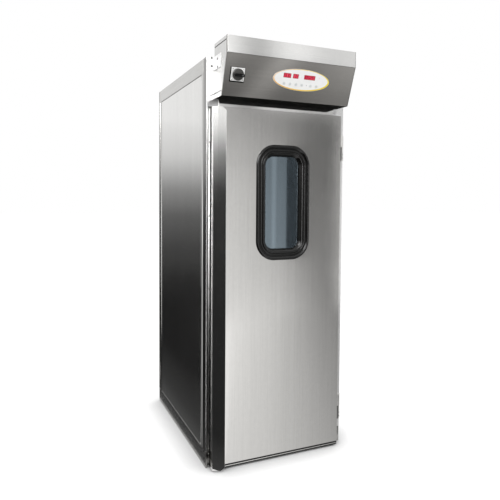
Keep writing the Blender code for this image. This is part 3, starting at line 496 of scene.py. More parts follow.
@dataclass(frozen=True)
class CircuitBoard(Finish):
    """Green solder mask over copper tracks."""

    slot: str = "circuit_board"
    tone: Colour = (0.03, 0.19, 0.08)

    def inputs(self, book: MaterialBook) -> dict:
        """Tracks that show lighter through the mask.

        Args:
            book: The material's book.

        Returns:
            The shader's inputs.
        """
        levels = {"Color1": 0.9, "Color2": 1.1, "Mortar": 1.9}
        sockets = {"Vector": book.where(), "Scale": 260.0, "Mortar Size": 0.09}
        sockets |= {key: (value, value, value, 1.0) for key, value in levels.items()}
        tracks = book.add("ShaderNodeTexBrick", sockets)
        tone = book.add("ShaderNodeSeparateColor", {0: tracks}).outputs[0]
        return {"Base Color": book.shade(self.tone, tone), "Roughness": 0.35, "Coat Weight": 0.4}


@dataclass(frozen=True)
class Pane(Finish):
    """Window glass, tinted and lightly mirrored outside or clear inside."""

    slot: str = "window_glass"
    tone: Colour = (0.62, 0.70, 0.76)
    mirror_tint: Colour = (0.62, 0.86, 1.0)
    index: float = 2.3

    def inputs(self, book: MaterialBook) -> dict:
        """Clear glass with a film of upright wiping streaks.

        Args:
            book: The material's book.

        Returns:
            The shader's inputs.
        """
        streaks = book.add("ShaderNodeMapping", {"Vector": book.where(), "Scale": (1.0, 1.0, 0.05)})
        film = book.noise(streaks, 34.0, 3.0, 0.6)
        return {
            "Base Color": book.shade(self.tone, book.spread(film, 0.93, 1.05, (0.3, 0.7))),
            "Roughness": book.spread(film, 0.015, 0.05, (0.35, 0.7)),
            "IOR": self.index,
            "Transmission Weight": 1.0,
            "Specular Tint": (*self.mirror_tint, 1.0),
        }


@dataclass(frozen=True)
class Lens(Finish):
    """Coloured plastic with a faint glow of its own."""

    slot: str = "red_lens"
    tone: Colour = (0.55, 0.012, 0.045)
    glow: float = 0.18
    roughness: float = 0.22

    def inputs(self, book: MaterialBook) -> dict:
        """A grained colour and its glow.

        Args:
            book: The material's book.

        Returns:
            The shader's inputs.
        """
        grain = book.spread(book.noise(book.where(), 160.0, 2.0), 0.88, 1.1, (0.3, 0.7))
        return {
            "Base Color": book.shade(self.tone, grain),
            "Roughness": self.roughness,
            "Coat Weight": 0.3,
            "Emission Color": (*self.tone, 1.0),
            "Emission Strength": self.glow,
        }


@dataclass(frozen=True)
class RimInk(Finish):
    """Printed ring of the keypad, orange at the left and yellow at the right."""

    slot: str = "white_membrane"
    tone: Colour = (0.86, 0.42, 0.05)
    yellow: Colour = (0.92, 0.74, 0.01)
    left: float = 0.0
    right: float = 1.0

    def inputs(self, book: MaterialBook) -> dict:
        """A ramp of the two inks across the keypad.

        Args:
            book: The material's book.

        Returns:
            The shader's inputs.
        """
        where = book.where()
        across = book.add("ShaderNodeSeparateXYZ", {0: where}).outputs[0]
        ramp = book.add("ShaderNodeValToRGB", {0: book.spread(across, 0.0, 1.0, (self.left, self.right))})
        for stop, ink in zip(ramp.color_ramp.elements, (self.tone, self.yellow)):
            stop.color = (*ink, 1.0)
        speckle = book.spread(book.noise(where, 500.0, 2.0), 0.3, 0.4)
        return {"Base Color": ramp, "Roughness": speckle, "Coat Weight": 0.2}


SKIN = BrushedSteel("steel_door", roughness=0.13, anisotropy=0.0, streak=0.05, waviness=0.01)
# Painted shade and light: each post's side faces take a dark copy of the steel, and the front posts' front
# faces a near-white one, standing in for how light falls on them.
SHADED_POST_SIDES = BrushedSteel("steel_post_sides_painted_shade", tone=(0.26, 0.257, 0.25), roughness=0.12, anisotropy=0.0,
                     brushing=0.02, waviness=0.01)
LIT_POST_FACES = BrushedSteel("steel_post_faces_painted_light", tone=(0.97, 0.965, 0.96), roughness=0.24,
                          anisotropy=0.0, streak=0.03, brushing=0.02, waviness=0.01)
FIELD = BrushedSteel("steel_side", tone=(0.72, 0.715, 0.70), roughness=0.12, streak=0.06,
                     anisotropy=0.0, brushing=0.02, waviness=0.01)
RAILS = BrushedSteel("steel_rails", tone=(0.52, 0.515, 0.50), grain=Grain.DEEP, roughness=0.2)
PLINTH = BrushedSteel("steel_plinth", tone=(0.34, 0.335, 0.325), grain=Grain.DEEP, roughness=0.24)
HEADER = BrushedSteel("steel_header", tone=(0.85, 0.84, 0.825), grain=Grain.ACROSS, roughness=0.07,
                      anisotropy=0.0, brushing=0.02, waviness=0.01)
ROOFING = BrushedSteel("steel_roof", tone=(0.62, 0.615, 0.60), grain=Grain.ACROSS)
BOX = BrushedSteel("steel_box", tone=(0.90, 0.895, 0.88), grain=Grain.ACROSS, roughness=0.14,
                   anisotropy=0.2, streak=0.05, waviness=0.02)
# Painted light: a near-white, half-metal copy of the steel, so that the brackets read as bright as the lit
# post faces.
LIT_BRACKET = BrushedSteel("steel_bracket_painted_light", tone=(0.94, 0.94, 0.935), roughness=0.36, streak=0.04,
                       metal=0.5)
FASCIA = BrushedSteel("steel_fascia", tone=(0.62, 0.60, 0.57), grain=Grain.ACROSS, roughness=0.13,
                      anisotropy=0.1, streak=0.06, waviness=0.02)
ENDS = BrushedSteel("steel_ends", tone=(0.64, 0.637, 0.625), roughness=0.2, anisotropy=0.1,
                    streak=0.05, waviness=0.02)
# Painted shade: a darker copy of the steel for the box's folded return, for how light falls on that strip.
SHADED_RETURN = BrushedSteel("steel_return_painted_shade", tone=(0.36, 0.35, 0.335), roughness=0.16, waviness=0.02)
PULL = BrushedSteel("steel_pull", tone=(0.80, 0.795, 0.78), roughness=0.12, anisotropy=0.0,
                    streak=0.05, waviness=0.01)
LINER = BrushedSteel("steel_liner", slot="bright_stainless", tone=(0.74, 0.735, 0.72))
REAR = Galvanised("zinc_rear")
ZINC = Galvanised("zinc_wheel")
SCREW = PlainMetal("steel_screws")
BOLT = PlainMetal("dull_bolts", tone=(0.14, 0.14, 0.137), roughness=0.3)
DARK_SCREW = PlainMetal("dark_screws", tone=(0.03, 0.03, 0.03), roughness=0.4)
PINS = PlainMetal("steel_hinges", tone=(0.78, 0.77, 0.75), roughness=0.26)
RUBBER = Moulded("black_rubber", "black_rubber", (0.004, 0.004, 0.0036), 0.16, texture=0.01,
                 gloss=0.45)
SEAL = Moulded("soft_seal", "black_rubber", (0.03, 0.03, 0.031), 0.6)
BLACK = Moulded("black_plastic", "black_plastic", (0.006, 0.006, 0.006), 0.2, texture=0.03, coat=1.0)
SKIRT = Moulded("black_skirt", "black_plastic", (0.06, 0.058, 0.054), 0.35, texture=0.03, bloom=0.2)
GRIP = Moulded("black_grip", "black_plastic", (0.004, 0.004, 0.004), 0.3, gloss=0.3)
# Matt black used only for painted shade: the box's underside, the backing of the end plates' seams, the
# shadow under the switch plate and the hinges' gap.
PAINTED_SHADE = Moulded("painted_shade_black", "black_plastic", (0.009, 0.009, 0.008), 0.85, gloss=0.05)
GREY = Moulded("grey_plastic", "grey_plastic", (0.22, 0.22, 0.23), 0.5)
WHITE = Moulded("white_plastic", "white_plastic", (0.93, 0.93, 0.92), 0.35, bloom=0.03)
FILM = Moulded("keypad_film", "white_membrane", (0.92, 0.92, 0.91), 0.4, 1500.0, 0.03, 0.02)
PALE = Moulded("pale_button", "pale_button", (0.70, 0.73, 0.72), 0.45, 1500.0, 0.05, 0.03)
INK = Moulded("grey_print", "white_membrane", (0.66, 0.66, 0.66), 0.5, bloom=0.05)
RED_INK = Moulded("red_print", "red_lens", (0.75, 0.05, 0.10), 0.4, bloom=0.05)
CORE = Foam("foam")
BOARD = CircuitBoard("board")
MIRROR_PANE = Pane("glass_outer", tone=(0.10, 0.12, 0.14), mirror_tint=(0.73, 0.89, 1.0), index=3.5)
CLEAR_PANE = Pane("glass_inner", tone=(0.85, 0.88, 0.9), mirror_tint=(1.0, 1.0, 1.0), index=1.5)
RED = Lens("red_lens", tone=(0.42, 0.008, 0.032), glow=0.09)
LIT = Lens("lit_segments", tone=(0.95, 0.10, 0.16), glow=0.6)
LAMP = Lens("lamp_lens", "white_plastic", (0.85, 0.84, 0.78), 0.1, 0.35)


class Workshop:
    """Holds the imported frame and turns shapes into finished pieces."""

    def __init__(self, frame: dict) -> None:
        """Keep the frame, and an empty shelf of materials.
        """
        self.nodes: dict[str, Item] = frame["nodes"]
        groups = frame["record"]["behaviour"]["bodies"]
        self.body_of: dict[str, str] = {n: body for body, ns in groups.items() for n in ns}
        self.shelf: dict[str, Material] = {}

    def material(self, finish: Finish) -> Material:
        """The material of a finish, made once.

        Args:
            finish: The finish.

        Returns:
            Its material.
        """
        if finish.name not in self.shelf:
            self.shelf[finish.name] = finish.build()
        return self.shelf[finish.name]

    def keep(self, finish: Finish, *names: str) -> None:
        """Leave CAD nodes as they are and dress them.

        Args:
            finish: Their finish.
            names: The nodes.
        """
        for name in names:
            for place in self.nodes[name].material_slots:
                place.material = self.material(finish)
            log.info("kept %s in %s", name, finish.name)

    def clean_copy(self, name: str) -> Shape:
        """A node's shape with its doubles merged and its flat faces joined up.

        Args:
            name: The node.

        Returns:
            The shape.
        """
        shape = bmesh.new()
        shape.from_mesh(self.nodes[name].data)
        bmesh.ops.remove_doubles(shape, verts=shape.verts, dist=WELD)
        bmesh.ops.dissolve_limit(shape, angle_limit=FLAT_ANGLE, verts=shape.verts, edges=shape.edges)
        return shape

    def piece(
        self,
        name: str,
        form: Shape | Mesh,
        finish: Finish,
        body: str,
        replaced: Sequence[str] = (),
        rounding: float = 0.0,
        segments: int = 2,
    ) -> Item:
        """Make a finished piece of a shape or a mesh that is in place.

        Args:
            name: The piece's name.
            form: Its shape, which is used up, or its mesh.
            finish: Its finish.
            body: The body it rides on.
            replaced: CAD nodes that it stands for.
            rounding: Width of the rounding of its sharp edges, or 0.
            segments: Faces across that rounding.

        Returns:
            The piece's object.
        """
        mesh = form if isinstance(form, Mesh) else as_mesh(form, name)
        mesh.materials.clear()
        mesh.materials.append(self.material(finish))
        mesh.shade_smooth()
        mesh.set_sharp_from_angle(angle=SMOOTH_ANGLE)
        item = new_object(name, mesh)
        if rounding:
            bevel = item.modifiers.new("rounding", "BEVEL")
            bevel.width = rounding
            bevel.segments = segments
            bevel.limit_method = "ANGLE"
            bevel.angle_limit = SMOOTH_ANGLE
            bevel.harden_normals = True
        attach(item, body)
        if replaced:
            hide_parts(*replaced)
        log.info("made %s in %s on %s", name, finish.name, body)
        return item

    def rounded(self, finish: Finish, rounding: float, *names: str, segments: int = 2) -> list[Item]:
        """Replace CAD nodes by copies with rounded edges.

        Args:
            finish: Their finish.
            rounding: Width of the rounding.
            names: The nodes.
            segments: Faces across the rounding.

        Returns:
            The finished pieces.
        """
        pieces = []
        for name in names:
            shape = self.clean_copy(name)
            body = self.body_of[name]
            pieces.append(self.piece(f"{name}_finished", shape, finish, body, [name], rounding, segments))
        return pieces

    def second_finish(self, item: Item, finish: Finish, chosen: Callable[[object], bool]) -> None:
        """Give another finish to some faces of a piece.

        Args:
            item: The piece.
            finish: The other finish.
            chosen: Tells whether a face gets it.
        """
        item.data.materials.append(self.material(finish))
        for face in item.data.polygons:
            if chosen(face):
                face.material_index = 1


class PatternTree(NodeBook):
    """A Geometry Nodes tree with named inputs that ends in one plain mesh."""

    def __init__(self, name: str, inputs: dict[str, str], material: Material) -> None:
        """Lay out the tree's inputs.

        Args:
            name: The tree's name.
            inputs: Socket type of each named input.
            material: What the result is made of.
        """
        super().__init__(bpy.data.node_groups.new(name, "GeometryNodeTree"))
        face = self.tree.interface
        face.new_socket("Geometry", in_out="INPUT", socket_type="NodeSocketGeometry")
        self.keys = {}
        for label, kind in inputs.items():
            self.keys[label] = face.new_socket(label, in_out="INPUT", socket_type=kind).identifier
        face.new_socket("Geometry", in_out="OUTPUT", socket_type="NodeSocketGeometry")
        self.source = self.add("NodeGroupInput").outputs
        self.material = material

    def close(self, geometry: object) -> None:
        """Realize the instances, set the material and end the tree.

        Args:
            geometry: The tree's last geometry.
        """
        real = self.add("GeometryNodeRealizeInstances", {"Geometry": geometry})
        dressed = self.add("GeometryNodeSetMaterial", {"Geometry": real, "Material": self.material})
        self.add("NodeGroupOutput", {"Geometry": dressed})

    def run(self, name: str, seed: Mesh, values: dict[str, object]) -> Mesh:
        """Evaluate the tree on a seed mesh.

        Args:
            name: Name of the result.
            seed: The mesh that enters the tree.
            values: Value of each named input.

        Returns:
            The evaluated result as a plain mesh.
        """
        holder = new_object(name + "_holder", seed)
        modifier = holder.modifiers.new("pattern", "NODES")
        modifier.node_group = self.tree
        for label, value in values.items():
            modifier[self.keys[label]] = value
        mesh = evaluated_mesh(holder)
        mesh.name = name
        holder.modifiers.remove(modifier)
        bpy.data.objects.remove(holder)
        return mesh


@dataclass(frozen=True)
class Head:
    """A domed screw head with a cross recess, or a rivet's plain dome."""

    radius: float
    height: float
    recess: float = 0.0
    recess_floor: float = 0.35
    recess_waist: float = 0.36
    sides: int = 24
    rings: tuple[Flat, ...] = ((1.0, 0.0), (1.0, 0.35), (0.92, 0.68), (0.74, 0.90), (0.5, 1.0))

    def build(self, facing: Point) -> Mesh:
        """Make the head, with its seat at the origin.

        Args:
            facing: The way it looks.

        Returns:
            Its mesh.
        """
        turns = [2 * math.pi * i / self.sides for i in range(self.sides)]
        levels = [([share] * self.sides, rise) for share, rise in self.rings]
        if self.recess:
            waist = self.recess_waist
            star = [self.recess * (waist + (1 - waist) * abs(math.cos(2 * a)) ** 3) for a in turns]
            levels += [(star, 1.0), (star, self.recess_floor)]
        shape = bmesh.new()
        loops = []
        for shares, rise in levels:
            arms = [(self.radius * share, a) for share, a in zip(shares, turns)]
            corners = [(arm * math.cos(a), arm * math.sin(a), self.height * rise) for arm, a in arms]
            loops.append([shape.verts.new(corner) for corner in corners])
        for lower, upper in zip(loops, loops[1:]):
            for i in range(self.sides):
                j = (i + 1) % self.sides
                shape.faces.new((lower[i], lower[j], upper[j], upper[i]))
        shape.faces.new(loops[-1])
        shape.faces.new(loops[0][::-1])
        turn = Vector(UP).rotation_difference(Vector(facing)).to_matrix()
        bmesh.ops.rotate(shape, verts=shape.verts, matrix=turn, cent=(0.0, 0.0, 0.0))
        bmesh.ops.recalc_face_normals(shape, faces=shape.faces)
        return as_mesh(shape, "head")


@dataclass
class Fasteners:
    """Rows of screw or rivet heads, set out by Geometry Nodes."""

    shop: Workshop
    trees: dict[str, PatternTree] = field(default_factory=dict)

    def tree(self, finish: Finish) -> PatternTree:
        """Two nested lines of points that carry the incoming head.

        Args:
            finish: What the heads are made of.

        Returns:
            The tree.
        """
        inputs = {"Columns": INT, "Column step": VECTOR, "Rows": INT, "Row step": VECTOR,
                  "First place": VECTOR}
        tree = PatternTree(f"rows_of_{finish.name}", inputs, self.shop.material(finish))
        source = tree.source
        line = {"Count": source["Columns"], "Start Location": source["First place"],
                "Offset": source["Column step"]}
        columns = tree.add("GeometryNodeMeshLine", line)
        rows = tree.add("GeometryNodeMeshLine", {"Count": source["Rows"], "Offset": source["Row step"]})
        grid = tree.add("GeometryNodeInstanceOnPoints", {"Points": columns, "Instance": rows})
        points = tree.add("GeometryNodeRealizeInstances", {"Geometry": grid})
        heads = {"Points": points, "Instance": source["Geometry"]}
        tree.close(tree.add("GeometryNodeInstanceOnPoints", heads))
        return tree

    def rows(
        self,
        name: str,
        finish: Finish,
        body: str,
        head: Head,
        facing: Point,
        first: Point,
        columns: tuple[int, Point] = (1, (0.0, 0.0, 0.0)),
        rows: tuple[int, Point] = (1, (0.0, 0.0, 0.0)),
    ) -> None:
        """Set out a grid of heads as one piece.

        Args:
            name: The piece's name.
            finish: Its finish.
            body: The body it rides on.
            head: One head.
            facing: The way the heads look.
            first: Place of the first head.
            columns: How many columns, and the step between them.
            rows: How many rows, and the step between them.
        """
        if finish.name not in self.trees:
            self.trees[finish.name] = self.tree(finish)
        values = {"Columns": columns[0], "Column step": columns[1], "Rows": rows[0],
                  "Row step": rows[1], "First place": first}
        mesh = self.trees[finish.name].run(name, head.build(facing), values)
        self.shop.piece(name, mesh, finish, body)


@dataclass(frozen=True)
class Card:
    """A card that only reflections see.

    Each of its grades is a direction, with distances along it and the share of the glow there.
    """

    name: str
    corners: Sequence[Point]
    grades: Sequence[tuple[Point, Sequence[Flat]]]
    glow: float = 1.0
    one_sided: bool = False


@dataclass
class Studio:
    """Camera, floor, world, lamps and the cards that only reflections see."""

    position: Point = (-1.2535, -2.9937, 1.3988)
    yaw_deg: float = 23.5715
    pitch_deg: float = -2.4431
    roll_deg: float = 0.3957
    lens_mm: float = 37.502
    sensor_mm: float = 36.0
    frame_drop: float = -0.0609
    front_card: float = -3.6
    floor_half: float = 40.0
    floor_glow: float = 0.71
    floor_tone: float = 0.42
    floor_card_lift: float = 0.001
    contact_reach: float = 0.16
    contact_depth: float = 1.4
    ambient: float = 0.78
    lamp_aim: Point = (0.0, 0.0, 1.1)

    def camera(self) -> None:
        """Stand the camera where the photograph was taken from."""
        yaw = math.radians(self.yaw_deg)
        pitch = math.radians(self.pitch_deg)
        roll = math.radians(self.roll_deg)
        ahead = Vector(
            (math.sin(yaw) * math.cos(pitch), math.cos(yaw) * math.cos(pitch), math.sin(pitch))
        )
        across = Vector((math.cos(yaw), -math.sin(yaw), 0.0))
        up = across.cross(ahead)
        right = across * math.cos(roll) + up * math.sin(roll)
        over = up * math.cos(roll) - across * math.sin(roll)
        turn = Matrix((right, over, -ahead)).transposed().to_4x4()
        data = bpy.data.cameras.new("camera")
        data.sensor_width = self.sensor_mm
        data.lens = self.lens_mm
        data.shift_y = self.frame_drop
        camera = new_object("camera", data)
        camera.matrix_world = Matrix.Translation(self.position) @ turn
        bpy.context.scene.camera = camera
        bpy.context.scene.view_settings.view_transform = "Standard"

    def seen(self, book: NodeBook) -> Socket:
        """One for camera, glossy and transmission rays, and zero for others.

        Args:
            book: The tree's book.

        Returns:
            The value's socket.
        """
        path = book.add("ShaderNodeLightPath").outputs
        glossy = book.math("MAXIMUM", path["Is Glossy Ray"], path["Is Transmission Ray"])
        return book.math("MAXIMUM", path["Is Camera Ray"], glossy)

    def world(self) -> None:
        """White to the eye and in reflections, and a plain level as light."""
        world = bpy.data.worlds.new("studio")
        world.use_nodes = True
        bpy.context.scene.world = world
        book = NodeBook(world.node_tree)
        strength = book.spread(self.seen(book), self.ambient, 1.0)
        back = book.add("ShaderNodeBackground", {"Color": (1.0, 1.0, 1.0, 1.0), "Strength": strength})
        book.add("ShaderNodeOutputWorld", {"Surface": back})

    def floor(self) -> None:
        """A pale floor that keeps a soft contact shadow."""
        book = MaterialBook("pale_floor")
        near = book.add("ShaderNodeAmbientOcclusion", {"Distance": self.contact_reach}, samples=16)
        shade = book.math("POWER", near.outputs["AO"], self.contact_depth)
        glow = book.math("MULTIPLY", shade, book.math("MULTIPLY", self.seen(book), self.floor_glow))
        tone = self.floor_tone
        matt = book.add("ShaderNodeBsdfDiffuse", {"Color": (tone, tone, tone, 1.0)})
        light = book.add("ShaderNodeEmission", {"Strength": glow})
        material = book.close(book.add("ShaderNodeAddShader", {0: matt, 1: light}))
        reach = (-self.floor_half, self.floor_half)
        self.sheet("floor", level(reach, reach, 0.0), material)

    def sheet(self, name: str, corners: Sequence[Point], material: Material) -> Item:
        """A flat staged sheet.

        Args:
            name: Its name.
            corners: Its corners in order.
            material: What it is made of.

        Returns:
            The sheet's object.
        """
        mesh = bpy.data.meshes.new(name)
        mesh.from_pydata(corners, [], [tuple(range(len(corners)))])
        mesh.materials.append(material)
        sheet = new_object(name, mesh)
        return sheet

    def stand(self, card: Card) -> None:
        """Stand a card up, its glow graded along its directions.

        Args:
            card: The card.
        """
        book = MaterialBook(card.name)
        where = book.where()
        glow: object = card.glow
        for way, places in card.grades:
            first, last = places[0][0], places[-1][0]
            along = book.add("ShaderNodeVectorMath", {0: where, 1: way}, operation="DOT_PRODUCT")
            share = book.spread(along.outputs["Value"], 0.0, 1.0, (first, last))
            ramp = book.add("ShaderNodeValToRGB", {0: share})
            stops = ramp.color_ramp.elements
            while len(stops) < len(places):
                stops.new(1.0)
            for stop, (place, value) in zip(stops, places):
                stop.position = (place - first) / (last - first)
                stop.color = (value, value, value, 1.0)
            grey = book.add("ShaderNodeSeparateColor", {0: ramp}).outputs[0]
            glow = book.math("MULTIPLY", glow, grey)
        light = book.add("ShaderNodeEmission", {"Strength": glow})
        if card.one_sided:
            back = book.add("ShaderNodeNewGeometry").outputs["Backfacing"]
            clear = book.add("ShaderNodeBsdfTransparent")
            light = book.add("ShaderNodeMixShader", {0: back, 1: light, 2: clear})
        sheet = self.sheet(card.name, card.corners, book.close(light))
        for ray in ("camera", "diffuse", "transmission", "shadow", "volume_scatter"):
            setattr(sheet, f"visible_{ray}", False)

    def lamp(self, name: str, place: Point, size: float, power: float, mirrored: bool) -> None:
        """A soft area lamp that looks at the middle of the cabinet.

        Args:
            name: Its name.
            place: Where it stands.
            size: Its width.
            power: Its power in watts.
            mirrored: Whether reflections show it.
        """
        data = bpy.data.lights.new(name, "AREA")
        data.size = size
        data.energy = power
        lamp = new_object(name, data)
        lamp.location = place
        aim = Vector(self.lamp_aim) - Vector(place)
        lamp.rotation_euler = aim.to_track_quat("-Z", "Y").to_euler()
        lamp.visible_glossy = mirrored

    def front_cards(self) -> list[Card]:
        """What the door, the posts, the control box and the window mirror.

        Returns:
            The cards.
        """
        far = self.front_card
        near = far + 0.01
        lift = self.floor_card_lift
        return [
            Card("card_front", wall((0.3, far), (2.40, far), (0.0, 2.42)), [
                (ACROSS, [(0.3, 1.0), (0.96, 0.80), (1.40, 0.63), (1.56, 0.58), (1.80, 0.38),
                          (2.0, 0.25), (2.25, 0.14), (2.40, 0.05)]),
                (UP, [(0.0, 1.0), (0.8, 0.90), (1.5, 0.80), (2.0, 0.64), (2.3, 0.50), (2.42, 0.45)]),
                ((1.0, 0.0, -1.0), [(-2.1, 0.6), (0.6, 0.6), (1.4, 0.7), (2.4, 1.0)])], 1.15 / 0.6),
            Card("card_glass_stripe", wall((1.43, near), (1.51, near), (0.7, 2.0)), [
                (ACROSS, [(1.43, 0.66), (1.455, 0.92), (1.475, 0.92), (1.51, 0.62)]),
                (UP, [(0.7, 1.0), (2.0, 0.8)])]),
            Card("card_behind_glass", wall((1.635, near), (1.90, near), (0.7, 2.0)), [
                (ACROSS, [(1.635, 0.10), (1.70, 0.075), (1.82, 0.12), (1.90, 0.22)]),
                (UP, [(0.7, 0.9), (2.0, 1.0)])]),
            Card("card_front_floor",
                 [(-0.31, -0.558, lift), (0.9, far, lift), (4.2, far, lift), (4.2, -0.558, lift)],
                 [((0.89, 0.454, 0.0), [(-0.7, 1.0), (-0.34, 0.80), (-0.10, 0.60), (0.13, 0.42),
                                        (0.5, 0.27), (2.5, 0.2)])]),
            Card("card_edge_light", wall((-0.62, far), (-0.06, far), (0.5, 3.4)),
                 [(UP, [(0.5, 0.25), (1.2, 0.6), (2.0, 1.0), (3.4, 1.0)])], 8.0),
            Card("card_post_light", wall((0.3, near), (0.78, near), (2.44, 3.0)), [], 1.3),
            Card("card_high", wall((0.76, far), (4.2, far), (2.42, 3.9)), [
                (ACROSS, [(0.76, 0.95), (0.95, 0.70), (1.08, 0.46), (1.20, 0.50), (1.35, 0.85),
                          (1.49, 1.0), (1.76, 0.95), (1.90, 0.76), (2.2, 0.74), (2.6, 0.85),
                          (4.2, 0.9)]),
                (UP, [(2.42, 0.75), (2.49, 0.75), (2.56, 0.45), (2.85, 0.5), (2.95, 1.04),
                      (3.04, 1.0), (3.12, 0.86), (3.9, 0.8)])], 1.05),
            Card("card_under_fascia", level((-0.4, 1.9), (-2.4, -0.8), 1.55), [
                ((1.0, 0.77, 0.0), [(-1.6, 0.42), (-1.27, 0.38), (-1.10, 0.25), (-0.98, 0.28),
                                    (-0.86, 0.56), (-0.80, 0.53), (-0.68, 0.33), (-0.56, 0.31),
                                    (-0.43, 0.37), (-0.2, 0.45), (0.8, 0.45)]),
                (DEEP, [(-2.4, 1.15), (-1.81, 1.0), (-1.25, 0.58), (-0.8, 0.5)])], one_sided=True),
        ]

    def side_cards(self) -> list[Card]:
        """What the sides, their beads and the rear mirror.

        Returns:
            The cards.
        """
        far = self.front_card
        lift = self.floor_card_lift
        bead_lift = 2 * lift
        return [
            Card("card_left", wall((-4.9, far), (-0.9, far), (0.0, 2.6)),
                 [(UP, [(0.0, 0.02), (1.5, 0.03), (1.9, 0.25), (2.25, 0.95), (2.6, 1.0)])]),
            Card("card_far_left", wall((-4.9, far), (-4.9, 8.0), (0.0, 2.6)),
                 [(UP, [(0.0, 0.16), (0.8, 0.20), (1.5, 0.30), (1.9, 0.48), (2.25, 0.95), (2.6, 1.0)])]),
            Card("card_bead_light", wall((-4.85, 4.9), (-4.85, 7.9), (0.0, 4.4)),
                 [(UP, [(0.0, 0.8), (0.9, 1.1), (1.7, 0.75), (2.5, 0.6), (4.4, 0.6)])]),
            Card("card_bead_floor",
                 [(-0.42, -0.50, bead_lift), (-4.2, 8.0, bead_lift), (-4.9, 8.0, bead_lift),
                  (-4.9, 3.26, bead_lift)],
                 [((-0.6, 0.8, 0.0), [(-0.2, 0.25), (1.5, 0.5), (9.4, 0.6)])]),
            Card("card_right", wall((4.5, -3.0), (4.5, 5.0), (0.0, 3.4)), [
                (UP, [(0.0, 0.35), (0.7, 0.62), (1.5, 0.85), (3.4, 1.0)]),
                (DEEP, [(-3.0, 1.0), (0.0, 0.72), (1.4, 0.9), (5.0, 0.7)])]),
            Card("card_back", wall((-0.9, 5.0), (4.5, 5.0), (0.0, 3.4)), [
                (UP, [(0.0, 0.4), (0.9, 0.66), (1.8, 0.9), (3.4, 1.0)]),
                (ACROSS, [(-0.9, 0.8), (0.6, 0.62), (1.8, 0.95), (4.5, 0.75)])]),
            Card("card_left_floor", level((-4.9, -0.31), (far, -0.575), lift),
                 [(DEEP, [(far, 0.02), (-0.9, 0.02), (-0.575, 0.05)])]),
            Card("card_side_floor", level((-4.9, -0.415), (-0.575, 8.0), lift), [
                (ACROSS, [(-4.9, 0.015), (-0.80, 0.015), (-0.54, 0.045), (-0.415, 0.10)]),
                (DEEP, [(-0.575, 0.30), (3.5, 0.30), (5.5, 0.5), (8.0, 1.0)])], 3.33),
            Card("card_back_left", wall((-4.9, 8.0), (-0.9, 8.0), (0.0, 3.0)), [
                (UP, [(0.0, 0.05), (0.3, 0.062), (1.0, 0.13), (1.56, 0.30), (2.26, 0.74),
                      (3.0, 0.95)])]),
        ]

    def build(self) -> None:
        """Set up everything that isn't the cabinet."""
        self.camera()
        self.world()
        self.floor()
        self.lamp("key", (-3.4, -3.6, 3.6), 2.6, 120.0, mirrored=True)
        self.lamp("fill", (3.8, -3.0, 2.6), 2.8, 65.0, mirrored=False)
        self.lamp("top", (0.0, 0.4, 5.2), 3.0, 70.0, mirrored=False)
        for card in self.front_cards() + self.side_cards():
            self.stand(card)
        log.info("studio ready")


